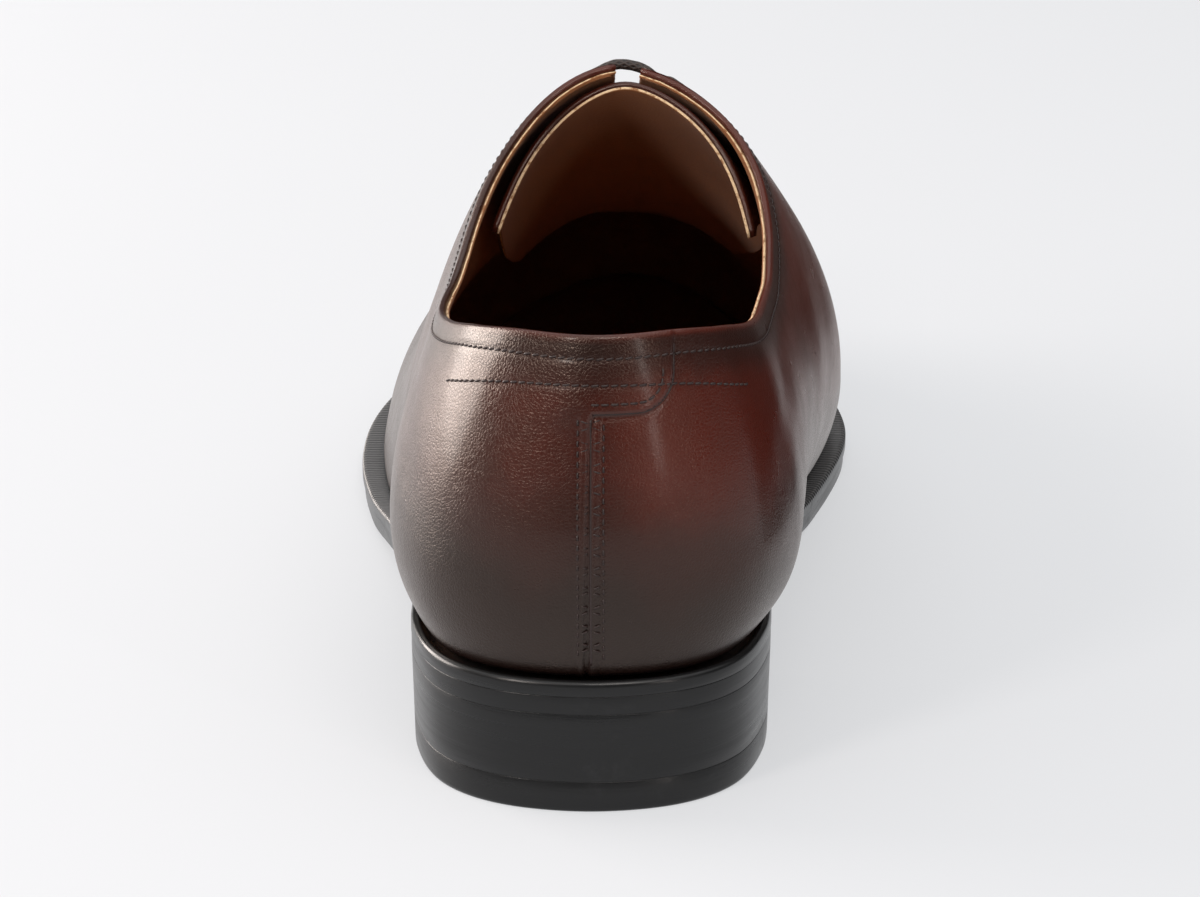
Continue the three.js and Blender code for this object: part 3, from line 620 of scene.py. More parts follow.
def waxed_black(name):
    """Waxed or moulded black: streaks along the edge, light scuffs, soft gloss."""
    made, n, shader = material(name)
    place = n.place()
    streaks = n.node("ShaderNodeGroup")
    streaks.node_tree = STREAKS
    n.link(place, streaks.inputs["Place"])
    streaks.inputs["Pitch"].default_value = STREAK_PITCH
    lines, scuffs = streaks.outputs["Lines"], streaks.outputs["Scuffs"]
    waxed = n.mix(n.math("MULTIPLY", scuffs, 0.45), BLACK, SCUFFED)
    crest = n.node("ShaderNodeAttribute", attribute_name="crest").outputs["Fac"]
    n.link(n.mix(crest, waxed, RIB_TOP_GREY), shader.inputs["Base Color"])
    streaked = n.math("MULTIPLY", n.math("SUBTRACT", lines, 0.5), 0.22)
    roughness = n.math("ADD", BLACK_ROUGHNESS, streaked)
    n.link(n.math("ADD", roughness, n.math("MULTIPLY", scuffs, 0.12)), shader.inputs["Roughness"])
    n.link(n.bump(lines, 0.18, 0.0004), shader.inputs["Normal"])
    shader.inputs["Coat Weight"].default_value = 0.1
    shader.inputs["Coat Roughness"].default_value = 0.22
    shader.inputs["IOR"].default_value = 1.36
    return made


def waxed_lace():
    """Dark waxed braid: strands cross on the slant, darker between them."""
    made, n, shader = material("waxed_braid")
    uv = n.node("ShaderNodeUVMap", uv_map="braid").outputs["UV"]
    split = n.node("ShaderNodeSeparateXYZ")
    n.link(uv, split.inputs[0])
    round_turn = n.math("MULTIPLY", split.outputs["X"], 2 * math.pi * 6)
    along = n.math("MULTIPLY", split.outputs["Y"], 2 * math.pi / 1.9)
    one = n.math("SINE", n.math("ADD", round_turn, along))
    two = n.math("SINE", n.math("SUBTRACT", round_turn, along))
    strands = n.math("ADD", n.math("MULTIPLY", n.math("MAXIMUM", one, two), 0.5), 0.5)
    fibres = n.noise(n.place(), 2600.0, 3.0, 0.7)
    n.link(n.mix(strands, (0.006, 0.004, 0.0035, 1), (0.030, 0.017, 0.012, 1)), shader.inputs["Base Color"])
    height = n.math("ADD", strands, n.math("MULTIPLY", fibres, 0.35))
    n.link(n.bump(height, 0.75, 0.00025), shader.inputs["Normal"])
    n.link(n.math("ADD", 0.42, n.math("MULTIPLY", fibres, 0.2)), shader.inputs["Roughness"])
    shader.inputs["Sheen Weight"].default_value = 0.1
    return made


def plain_finish(name, colour, rough, scale):
    """A thread or a plastic tip: one colour with a fine unevenness. The thread also draws the dark line of
    the back seam and the painted shadow along the heel tab's edge.
    """
    made, n, shader = material(name)
    fine = n.noise(n.place(), scale, 3.0, 0.6)
    darker = tuple(0.6 * c for c in colour[:3]) + (1,)
    n.link(n.mix(fine, darker, colour), shader.inputs["Base Color"])
    n.link(n.bump(fine, 0.2, 0.0002), shader.inputs["Normal"])
    n.link(n.math("ADD", rough, n.math("MULTIPLY", fine, 0.1)), shader.inputs["Roughness"])
    return made


CALF = patina_leather()
LINING = lining_leather()
RAW_EDGE = raw_edge()
SOLE_BLACK = waxed_black("waxed_sole_edge")
RUBBER = waxed_black("heel_rubber")
BRAID = waxed_lace()
THREAD_AND_TAB_SHADOW = plain_finish("waxed_thread_and_tab_shadow", (0.022, 0.008, 0.006, 1), 0.45, 3000.0)
TIP = plain_finish("lace_tip", (0.012, 0.007, 0.006, 1), 0.22, 900.0)


def set_camera():
    data = bpy.data.cameras.new("photo_camera")
    data.lens = CAMERA_LENS
    camera = bpy.data.objects.new("photo_camera", data)
    bpy.context.scene.collection.objects.link(camera)
    camera.location = CAMERA_PLACE
    camera.rotation_mode = "QUATERNION"
    camera.rotation_quaternion = (CAMERA_AIM - CAMERA_PLACE).to_track_quat("-Z", "Y")
    bpy.context.scene.camera = camera


set_camera()

# The bow's routes, in millimetres: two loops and two ends out of the knot
KNOT_PLACE = np.array([5.5, 104.4, 96.8])
KNOT_TILT = -36
INNER_LOOP = [
    [9.5, 103.5, 97.9],
    [11.6, 102.0, 100.2],
    [12.2, 99.4, 101.4],
    [12.4, 95.0, 103.9],
    [12.6, 91.0, 105.8],
    [14.0, 89.4, 106.1],
    [16.8, 89.8, 104.1],
    [20.2, 91.6, 100.9],
    [22.8, 94.0, 97.3],
    [25.5, 96.5, 93.9],
    [29.0, 99.5, 88.9],
    [32.0, 103.5, 83.4],
    [31.5, 108.0, 81.4],
    [27.0, 109.5, 83.9],
    [22.0, 108.5, 86.9],
    [17.5, 107.0, 90.4],
    [13.2, 105.6, 93.4],
    [9.6, 105.2, 95.4],
]
OUTER_LOOP = [
    [1.4, 103.6, 97.4],
    [-2.6, 102.6, 97.4],
    [-8.0, 103.0, 94.9],
    [-14.0, 105.5, 89.3],
    [-20.0, 110.0, 80.2],
    [-23.0, 115.0, 73.9],
    [-21.5, 119.0, 73.6],
    [-15.5, 117.5, 80.0],
    [-10.5, 113.0, 86.4],
    [-7.6, 109.0, 90.7],
    [-3.4, 106.0, 94.4],
    [1.4, 105.4, 95.0],
]
INNER_END = [
    [7.6, 107.9, 94.6],
    [10.4, 112.6, 92.2],
    [13.0, 117.4, 86.4],
    [17.2, 121.4, 81.8],
    [20.5, 127.7, 77.6],
    [23.0, 136.0, 73.4],
    [24.0, 144.0, 69.5],
]
OUTER_END = [
    [3.4, 107.9, 94.6],
    [0.6, 112.8, 93.5],
    [-2.8, 117.4, 86.8],
    [-7.6, 121.5, 82.5],
    [-12.0, 129.0, 75.9],
    [-15.4, 137.0, 70.2],
    [-17.6, 145.0, 65.2],
]
KNOT_TURNS = 2.5
KNOT_START = 0.6  # radians round, where the lace comes in
KNOT_HALF_WIDTH = 2.5 * MM
KNOT_HALF_DEPTH = 1.75 * MM
KNOT_HALF_HEIGHT = 1.35 * MM
LACE_SIDES = 20
LACE_STEP = 0.45 * MM
TIP_LENGTH = 9 * MM


def lace_piece(name, line, radius=LACE_DIAMETER / 2):
    """A braided lace along a line, its braid laid out in its own coordinates."""
    vertices, faces, travelled = tube(line, radius, LACE_SIDES, BRAID_RIDGE)
    piece = mesh_piece(name, vertices, faces, [BRAID])
    layer = piece.data.uv_layers.new(name="braid")
    rings = len(line)
    for polygon in piece.data.polygons:
        columns = [v % LACE_SIDES for v in polygon.vertices]
        wraps = max(columns) - min(columns) > LACE_SIDES / 2
        for loop, vertex, column in zip(polygon.loop_indices, polygon.vertices, columns):
            ring = min(vertex // LACE_SIDES, rings - 1)
            turn = (column + (LACE_SIDES if wraps and column < LACE_SIDES / 2 else 0)) / LACE_SIDES
            layer.data[loop].uv = (turn, travelled[ring] / MM)
    return piece


def lace_tip(name, line):
    """The shrunk sleeve on a lace's last stretch, a little rounded at its mouth."""
    along = travelled_along(line)
    sleeve = respaced(line[along > along[-1] - TIP_LENGTH], 0.5 * MM)
    wide = LACE_DIAMETER / 2 * np.array([0.97, 1.03] + [1.05] * (len(sleeve) - 4) + [1.0, 0.8])
    vertices, faces, _ = tube(sleeve, wide, LACE_SIDES)
    return mesh_piece(name, vertices, faces, [TIP])


def bow():
    """The two loops and the two ends out of the knot, each a cord of its real length, the ends with their
    tips.
    """
    for name, points, far_end in [
        ("lace_loop_inner", INNER_LOOP, "knot"),
        ("lace_loop_outer", OUTER_LOOP, "knot"),
        ("lace_end_inner", INNER_END, "fitting"),
        ("lace_end_outer", OUTER_END, "fitting"),
    ]:
        line = route(np.array(points) * MM, LACE_STEP)
        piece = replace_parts(lace_piece(name + "_braid", line), name)
        tips = [lace_tip(name + "_tip", line)] if far_end == "fitting" else []


def lace_knot():
    """The knot: the lace goes round the loops' crossing two and a half times."""
    share = np.linspace(0, 1, 90)
    angle = 2 * np.pi * KNOT_TURNS * share + KNOT_START
    tilt = math.radians(KNOT_TILT)
    across = KNOT_HALF_WIDTH * (2 * share - 1)
    deep, tall = KNOT_HALF_DEPTH * np.cos(angle), KNOT_HALF_HEIGHT * np.sin(angle)
    along = deep * math.cos(tilt) - tall * math.sin(tilt)
    up = deep * math.sin(tilt) + tall * math.cos(tilt)
    line = np.stack([across, along, up], 1)
    piece = lace_piece("lace_knot_wraps", respaced(line + KNOT_PLACE * MM, LACE_STEP))
    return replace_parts(piece, "lace_knot")


KNOT = lace_knot()
bow()


def eyelets():
    """The eyelets' places: pairs from the collar towards the toe."""
    share = np.arange(EYELET_PAIRS) / (EYELET_PAIRS - 1)
    y = LENGTH * (EYELET_FIRST + share * (EYELET_LAST - EYELET_FIRST)) - HEEL_CENTRE
    return y, crest(y)[:, 0], gap_width(y) / 2 + EYELET_INSET


def gap_width(y):
    share = ((y + HEEL_CENTRE) / LENGTH - THROAT_TOP) / (THROAT_END - THROAT_TOP)
    return GAP_TOP + share * (GAP_END - GAP_TOP)


EYELET_Y, EYELET_MIDDLE, EYELET_HALF = eyelets()


def over_facing(k, across, height):
    """Places over the facings beside pair k: across is a share of the eyelets' half width."""
    across = np.asarray(across, float)
    y = np.full(across.shape, EYELET_Y[k])
    s, t = locate(EYELET_MIDDLE[k] + across * EYELET_HALF[k], y)
    return skin(s, t) + normal(s, t) * np.asarray(height)[..., None]


def lace_bars():
    """The lace's bars over the facings, each down through its own two eyelets."""
    for k in range(EYELET_PAIRS):
        lift = LACE_DIAMETER / 2 + CLEARANCE + BAR_RISE
        rise = TOP_BAR_RISE if k == 0 else 0
        foot = CLEARANCE - WALL
        across = [-1, -1, -0.92, -0.76, -0.5, -0.2, 0.2, 0.5, 0.76, 0.92, 1, 1]
        half = [foot, 0, lift * 0.75, lift, lift + 0.45 * rise, lift + rise]
        height = half + half[::-1]
        line = route(over_facing(k, across, height), LACE_STEP)
        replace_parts(lace_piece(f"lace_bar_{k + 1}_braid", line), f"lace_bar_{k + 1}")


lace_bars()

# How finely the upper is cut, and where closer
COLUMN_STEP = 1.4 * MM
TOP_BAND = 20 * MM
TOP_ROW_STEP = 0.5 * MM
LOWER_ROWS = 58
INNER_ROWS = 32
FRONT = THROAT_TOP * LENGTH - HEEL_CENTRE
SLOT_END = THROAT_END * LENGTH - HEEL_CENTRE
SLOT_START = FRONT - THROAT_OVERRUN

# The rim: a rolled edge of the outer leather, a seam line, then the lining's cut edge
BEAD_WIDTH = 1.5 * MM
BEAD_DEPTH = 0.85 * MM
LINING_DROP = 0.3 * MM
FRAY = 0.16 * MM
TAB_EDGE_SOFT = 0.25 * MM

# Stitch rows: distance from the rim, pitch and thread
EDGE_ROW = 4.3 * MM
SECOND_ROW = 9.0 * MM
SECOND_ROW_REACH = 24 * MM
STITCH_PITCH = 1.75 * MM
THREAD_RADIUS = 0.21 * MM
SEAM_ROW = 2.3 * MM
SEAM_PITCH = 1.9 * MM
SEAM_LINE_RADIUS = 0.27 * MM
TAB_ROW_INSIDE = 1.9 * MM
TACK_HALF = 2.6 * MM
TACK_STEP = 0.55 * MM
SECOND_ROW_DROP = 2.6 * MM
BARE_COLUMNS = 6  # columns without stitches at each end of the row, at the foot of the throat


def is_cut(points):
    """Whether places on the uncut surface lie over the collar's edge or in the throat's slot."""
    x, y, z = points[..., 0], points[..., 1], points[..., 2]
    over = (y < FRONT) & (z > collar(y))
    past = np.maximum(y - SLOT_END, 0)
    half = np.where(y < SLOT_END, gap_width(y) / 2, np.sqrt(np.maximum((GAP_END / 2) ** 2 - past**2, 0)))
    near = (y > SLOT_START) & (y < SLOT_END + GAP_END) & (np.abs(x) < 30 * MM)
    middle = np.full(y.shape, 1e3)
    middle[near] = crest_x(y[near])
    return over | (near & (np.abs(x - middle) < half))


CREST_Y = np.linspace(SLOT_START - 0.01, SLOT_END + 0.02, 200)
CREST_LINE = crest(CREST_Y)


def crest_x(y):
    return np.interp(y, CREST_Y, CREST_LINE[:, 0])


def upper_stations():
    """Places round the last for the columns, alike on both sides."""
    fine = np.linspace(0, TOE, 5601)
    slot_section = np.interp(SLOT_END + GAP_END / 2, handle(fine, TOP)[:, 1][2000:], fine[2000:])
    step = np.full(fine.shape, COLUMN_STEP)
    step *= 1 - 0.68 * (1 - ease(1.7, 2.4, fine))
    step *= 1 - 0.4 * ease(5.5, 6.0, fine) * (1 - ease(7.0, 7.5, fine))
    step *= 1 - 0.75 * ease(0, 0.12, 0.2 - np.abs(fine - slot_section))
    lengths = []
    for t in (0.1, 0.5):
        for side in (fine, COUNT - fine):
            lengths.append(np.linalg.norm(np.diff(skin(side, t), axis=0), axis=1))
    travelled = np.concatenate([[0], np.cumsum(np.max(lengths, axis=0) / step[1:])])
    cuts = int(round(travelled[-1]))
    half = np.interp(np.linspace(0, travelled[-1], cuts + 1), travelled, fine)
    return np.concatenate([half, COUNT - half[1:-1][::-1]])


def ends_of(stations):
    """How far up each column the cut edge lies, 1 where the column reaches the crest."""
    steps = np.linspace(0, 1, 241)
    cut = is_cut(skin(stations[:, None], steps[None, :]))
    has = cut.any(1)
    first = np.where(has, cut.argmax(1), 240)
    low, high = steps[np.maximum(first - 1, 0)], steps[first]
    ends = bisect(low, high, lambda t: ~is_cut(skin(stations, t)))
    return np.where(has, ends, 1.0), has


def lower_edge_of_tab(x):
    """Height of the tab's lower edge at a distance across from the back seam."""
    bottom = HEEL_HEIGHT + COLLAR_HEIGHT - TAB_DEPTH + TAB_SLOPE
    round_start = TAB_WIDTH - TAB_CORNER
    inside = np.clip(x - round_start, 0, TAB_CORNER)
    return bottom + TAB_CORNER - np.sqrt(np.maximum(TAB_CORNER**2 - inside**2, 0))


def relief(points, below_rim, seam_x):
    """How far the leather stands off the plain surface: seam, tab, stitch furrows, soft swells."""
    x, y, z = points[..., 0], points[..., 1], points[..., 2]
    at_back = 1 - ease(8 * MM, 14 * MM, y + HEEL_CENTRE)
    across = x - seam_x
    tab_edge = lower_edge_of_tab(np.maximum(across, 0))
    above = ease(-TAB_EDGE_SOFT, TAB_EDGE_SOFT, z - tab_edge)
    in_tab = np.where(across > 0, above * ease(-TAB_EDGE_SOFT, TAB_EDGE_SOFT, TAB_WIDTH - across), 0)
    fading = ease(-11 * MM, 0, across) * ease(-5 * MM, 2 * MM, z - tab_edge)
    height = TAB_THICKNESS * at_back * np.where(across > 0, in_tab, fading)
    outside = np.exp(-(((z - tab_edge + 0.7 * MM) / (0.5 * MM)) ** 2)) * (across > 0) * (across < TAB_WIDTH)
    height -= 0.2 * MM * outside * at_back
    below_tab = ease(0, 1.5 * MM, tab_edge - z) * at_back
    groove = np.exp(-((across / (0.42 * MM)) ** 2))
    shoulder = np.exp(-(((np.abs(across) - 1.1 * MM) / (0.6 * MM)) ** 2))
    furrow = np.exp(-(((np.abs(across) - SEAM_ROW) / (0.4 * MM)) ** 2))
    height += below_tab * MM * (-0.55 * groove + 0.16 * shoulder - 0.14 * furrow)
    height -= 0.13 * MM * np.exp(-(((below_rim - EDGE_ROW) / (0.55 * MM)) ** 2))
    second = SECOND_ROW + SECOND_ROW_DROP * (across / SECOND_ROW_REACH) ** 2
    reach = at_back * (1 - ease(SECOND_ROW_REACH, SECOND_ROW_REACH + MM, np.abs(across)))
    height -= 0.12 * MM * reach * np.exp(-(((below_rim - second) / (0.5 * MM)) ** 2))
    height -= 0.35 * MM * np.exp(-((z - seat(y)) / (1.4 * MM)))
    for k in range(EYELET_PAIRS):
        for side in (-1, 1):
            dx = x - (EYELET_MIDDLE[k] + side * EYELET_HALF[k])
            apart = np.hypot(dx, y - EYELET_Y[k])
            height -= 0.3 * MM * np.exp(-((apart / (2.6 * MM)) ** 2)) * (z > 50 * MM)
    return height + swells(points)


def swells(points):
    """Soft troughs and ridges where the leather was drawn over the last."""
    x, y, z = points[..., 0], points[..., 1], points[..., 2]
    side = ease(15 * MM, 28 * MM, np.abs(x))
    waist = np.exp(-(((y - 62 * MM) / (9 * MM)) ** 2)) - 0.7 * np.exp(-(((y - 84 * MM) / (11 * MM)) ** 2))
    quarter = side * waist * ease(22 * MM, 42 * MM, z) * 0.45 * MM
    vamp = np.sin((y + 0.35 * np.abs(x)) / (7.5 * MM)) * np.exp(-(((y - 158 * MM) / (16 * MM)) ** 2))
    vamp = vamp * ease(30 * MM, 45 * MM, z) * 0.22 * MM
    counter = 0.25 * MM * np.exp(-(((z - 62 * MM - 0.5 * y) / (6 * MM)) ** 2))
    counter = counter * (1 - ease(20 * MM, 50 * MM, y))
    return quarter + vamp - counter


class Upper:
    """The upper's fine surface: columns round the last, rows from the sole to the rim or the crest."""

    def __init__(self):
        self.stations = upper_stations()
        self.ends, self.open = ends_of(self.stations)
        self.count = len(self.stations)
        steps = np.linspace(0, 1, 141)[None, :] * self.ends[:, None]
        fine = skin(self.stations[:, None], steps)
        piece = np.linalg.norm(np.diff(fine, axis=1), axis=2)
        self.travelled = np.concatenate([np.zeros((self.count, 1)), np.cumsum(piece, axis=1)], 1)
        self.steps = steps
        self.length = self.travelled[:, -1]

    def share_at(self, distances):
        """The t of each column at distances from the sole, as columns x distances."""
        return np.array([np.interp(d, a, t) for d, a, t in zip(distances, self.travelled, self.steps)])

    def rows(self, stop, lower, step, band):
        """Distances from the sole: even below, closer in the band under the rim."""
        top = self.length - stop
        count = int(round(band / step))
        shares = np.linspace(0, 1, lower + 1)[:-1]
        low = shares[None, :] * (top - band)[:, None]
        high = (top - band)[:, None] + np.linspace(0, band, count + 1)[None, :]
        return np.concatenate([low, high], 1)

    def surface(self, distances, depth=0.0):
        """The outer face with its relief, or the plain inner face at a depth, and the way to the rim."""
        t = self.share_at(distances)
        s = np.broadcast_to(self.stations[:, None], t.shape)
        points, normals = skin(s, t), shell_normal(s, t)
        below = np.where(self.open[:, None], self.length[:, None] - distances, 1.0)
        if depth == 0:
            seam_x = np.broadcast_to(points[:1, :, 0], t.shape)
            return points + normals * relief(points, below, seam_x)[..., None], below
        return points - normals * depth, below


def open_columns(shell):
    """The columns that end at a cut edge, in order round the rim."""
    columns = np.flatnonzero(shell.open)
    split = np.flatnonzero(np.diff(columns) > 1)[0] + 1
    return np.concatenate([columns[split:], columns[:split]])


def rim_rings(shell):
    """The rim's rings from the outer leather over the bead and the lining's edge."""
    columns = open_columns(shell)
    s, t = shell.stations[columns], shell.ends[columns]
    edge, out = skin(s, t), normal(s, t)
    seam_x = np.full(len(columns), skin(0.0, shell.ends[0])[0])
    edge = edge + out * relief(edge, np.zeros(len(columns)), seam_x)[:, None]
    tangent = unit(np.roll(edge, -1, 0) - np.roll(edge, 1, 0))
    up = np.cross(tangent, out)
    up *= np.sign(np.sum(up * (skin(s, t) - skin(s, t - 0.01)), -1))[:, None]
    up = unit(up)
    angles = np.linspace(0, np.pi, 9)[1:]
    half = BEAD_WIDTH / 2
    profile = [(half * (1 - math.cos(a)), BEAD_DEPTH * (math.sin(a) - 1), 0) for a in angles]
    lining_top = -LINING_DROP
    profile += [
        (BEAD_WIDTH + 0.06 * MM, -BEAD_DEPTH, 2),
        (BEAD_WIDTH + 0.1 * MM, lining_top - 0.05 * MM, 1),
        (BEAD_WIDTH + 0.2 * MM, lining_top, 1),
        (WALL - 0.35 * MM, lining_top, 1),
        (WALL - 0.08 * MM, lining_top - 0.2 * MM, 2),
        (WALL, lining_top - 0.5 * MM, 2),
    ]
    loose = np.random.default_rng(11).uniform(-1, 1, (2, len(columns)))
    fray = FRAY * (loose + np.roll(loose, 1, 1)) / 2
    rings = []
    for width, rise, slot in profile:
        moved = fray if slot == 1 else 0 * fray
        rings.append(edge - out * (width + 0.5 * moved[:1].T) + up * (rise + moved[1:].T))
    return columns, rings, [slot for _, _, slot in profile]


def build_upper():
    """The leather wall: outer side, rim and lining in one closed skin, then the eyelets."""
    shell = Upper()
    distances = shell.rows(np.where(shell.open, BEAD_DEPTH, 0), LOWER_ROWS, TOP_ROW_STEP, TOP_BAND)
    outer, below = shell.surface(distances)
    lining_stop = np.where(shell.open, LINING_DROP + 1.1 * MM, 0)
    inner_distances = shell.rows(lining_stop, INNER_ROWS, 2 * MM, 10 * MM)
    inner, _ = shell.surface(inner_distances, WALL)
    inner[:, 0, 2] = outer[:, 0, 2]
    columns, rings, ring_slots = rim_rings(shell)

    faces, slots = [], []
    rows, inner_rows = outer.shape[1], inner.shape[1]
    inner_start = shell.count * rows
    rim_start = inner_start + shell.count * inner_rows
    vertices = np.vstack([outer.reshape(-1, 3), inner.reshape(-1, 3), *rings])

    def outer_id(i, j):
        return (i % shell.count) * rows + j

    def inner_id(i, j):
        return inner_start + (i % shell.count) * inner_rows + j

    def rim_id(ring, c):
        return rim_start + ring * len(columns) + c % len(columns)

    def add(face, slot):
        faces.append(face)
        slots.append(slot)

    for i in range(shell.count):
        for j in range(rows - 1):
            add((outer_id(i, j), outer_id(i, j + 1), outer_id(i + 1, j + 1), outer_id(i + 1, j)), 0)
        for j in range(inner_rows - 1):
            add((inner_id(i, j), inner_id(i + 1, j), inner_id(i + 1, j + 1), inner_id(i, j + 1)), 2)
        add((outer_id(i, 0), outer_id(i + 1, 0), inner_id(i + 1, 0), inner_id(i, 0)), 2)
    top, inner_top = rows - 1, inner_rows - 1
    for c in range(len(columns)):
        i, k = columns[c], columns[(c + 1) % len(columns)]
        add((outer_id(i, top), rim_id(0, c), rim_id(0, c + 1), outer_id(k, top)), 0)
        for ring in range(len(rings) - 1):
            slot = ring_slots[ring + 1]
            add((rim_id(ring, c), rim_id(ring + 1, c), rim_id(ring + 1, c + 1), rim_id(ring, c + 1)), slot)
        last = len(rings) - 1
        add((rim_id(last, c), inner_id(i, inner_top), inner_id(k, inner_top), rim_id(last, c + 1)), 2)
    final, first = columns[-1], columns[0]
    add((outer_id(final, top), outer_id(first, top), outer_id(final + 1, top)), 0)
    add((inner_id(final, inner_top), inner_id(final + 1, inner_top), inner_id(first, inner_top)), 2)

    # The leather's darkness per vertex: burnish with painted shade and painted light in it; the lining gets
    # none.
    burnish_and_shade = np.concatenate([
        burnish_and_shade_of(outer, below).ravel(),
        np.zeros(inner.shape[0] * inner.shape[1]),
        np.concatenate([burnish_and_shade_of(ring, np.zeros(len(ring))) for ring in rings]),
    ])
    piece = mesh_piece("upper_leather", vertices, faces, [CALF, RAW_EDGE, LINING], slots)
    keep_values(piece, "burnish_and_shade", burnish_and_shade)
    weld(piece, 0.02 * MM)
    punch_eyelets(piece)
    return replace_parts(piece, "upper"), shell


def burnish_and_shade_of(points, below_rim):
    """How dark the leather is, 0 open burgundy and 1 nearly black: burnish at the toe and under the rim,
    darker towards the outer side, darker towards the sole and lighter above (partly burnish at the heel's
    foot, partly painted shade low down and painted light higher up), and painted shade down the middle of the
    back.
    """
    x, y, z = points[..., 0], points[..., 1], points[..., 2]
    over_seat = z - seat(y)
    # Darker towards the sole, lighter higher up: partly burnish at the heel's foot, partly painted shade low
    # down and painted light on the upper quarters.
    low = 1 - ease(4 * MM, 40 * MM, over_seat)
    rim = 0.5 * (1 - ease(1 * MM, 12 * MM, below_rim)) * ease(0.5 * MM, 2 * MM, below_rim)
    toe = 0.75 * ease(150 * MM, 225 * MM, y)
    # Painted shade: a darker strip down the middle of the back.
    back_middle_shade = 0.25 * np.exp(-((x / (9 * MM)) ** 2)) * (1 - ease(0, 10 * MM, y + 25 * MM))
    outside = 0.42 * ease(2 * MM, 28 * MM, -x)
    return np.clip(0.12 + 0.85 * low + rim + toe + back_middle_shade + outside, 0, 1.1)


WELD = 0.001 * MM  # places nearer than this are one


def weld(piece, distance):
    """Joins places that fall together, drops empty faces and turns the rest outwards."""
    mesh = bmesh.new()
    mesh.from_mesh(piece.data)
    bmesh.ops.remove_doubles(mesh, verts=mesh.verts, dist=distance)
    bmesh.ops.dissolve_degenerate(mesh, dist=distance / 10, edges=mesh.edges)
    bmesh.ops.recalc_face_normals(mesh, faces=mesh.faces)
    mesh.to_mesh(piece.data)
    mesh.free()
    piece.data.update()


def punch_eyelets(piece):
    """Cuts the round eyelet holes through both facings."""
    parts = []
    for k in range(EYELET_PAIRS):
        for side in (-1, 1):
            middle = over_facing(k, np.array([side]), np.zeros(1))[0]
            out = over_facing(k, np.array([side]), np.full(1, MM))[0] - middle
            axis = out / np.linalg.norm(out)
            line = np.array([middle - axis * 4 * MM, middle + axis * 2 * MM])
            parts.append(tube(line, EYELET_DIAMETER / 2, 28)[:2])
    vertices, hole_faces = joined(parts)
    cutter = mesh_piece("eyelet_cutter", vertices, hole_faces, [CALF])
    weld(cutter, WELD)
    cut = piece.modifiers.new("eyelets", "BOOLEAN")
    cut.operation = "DIFFERENCE"
    cut.solver = "EXACT"
    cut.object = cutter
    graph = bpy.context.evaluated_depsgraph_get()
    mesh = bpy.data.meshes.new_from_object(piece.evaluated_get(graph))
    piece.modifiers.clear()
    piece.data = mesh
    bpy.data.objects.remove(cutter)


UPPER, SHELL = build_upper()
UPPER_TREE = BVHTree.FromObject(UPPER, bpy.context.evaluated_depsgraph_get())


def heel_loop(stations, height, inset):
    """The heel's outline at a height, a little narrower at the floor."""
    points = sole_edge(stations, WELT_STEP + inset)
    share = HEEL_TAPER + (1 - HEEL_TAPER) * height / (HEEL_HEIGHT - SOLE)
    points[:, :2] *= share
    return points


def outward(s):
    return unit((handle(s, EDGE) - handle(s, FOOT)) * [1, 1, 0])


def sole_edge(s, inset):
    return handle(s, EDGE) - outward(s) * np.asarray(inset)[..., None]


def ring_stations(step):
    """Places round the sole at an even step along its edge, alike on both sides."""
    fine = np.linspace(0, TOE, 4001)
    lengths = [np.linalg.norm(np.diff(handle(side, EDGE), axis=0), axis=1) for side in (fine, COUNT - fine)]
    travelled = np.concatenate([[0], np.cumsum(np.max(lengths, axis=0) / step)])
    half = np.interp(np.linspace(0, travelled[-1], int(round(travelled[-1])) + 1), travelled, fine)
    return np.concatenate([half, COUNT - half[1:-1][::-1]])


# The welt's ribs: pitch, depth and where they start along the foot
RIB_PITCH = 1.6 * MM
RIB_DEPTH = 0.7 * MM
RIB_START = 62 * MM
RIB_COLUMN = RIB_PITCH / 5

# What is left of the clearance between the sole's pieces, and how far the welt comes in at the heel
SEAM_LEFT = 0.03 * MM
SEAM_FILL = CLEARANCE - SEAM_LEFT
HEEL_FLUSH = 0.42 * MM


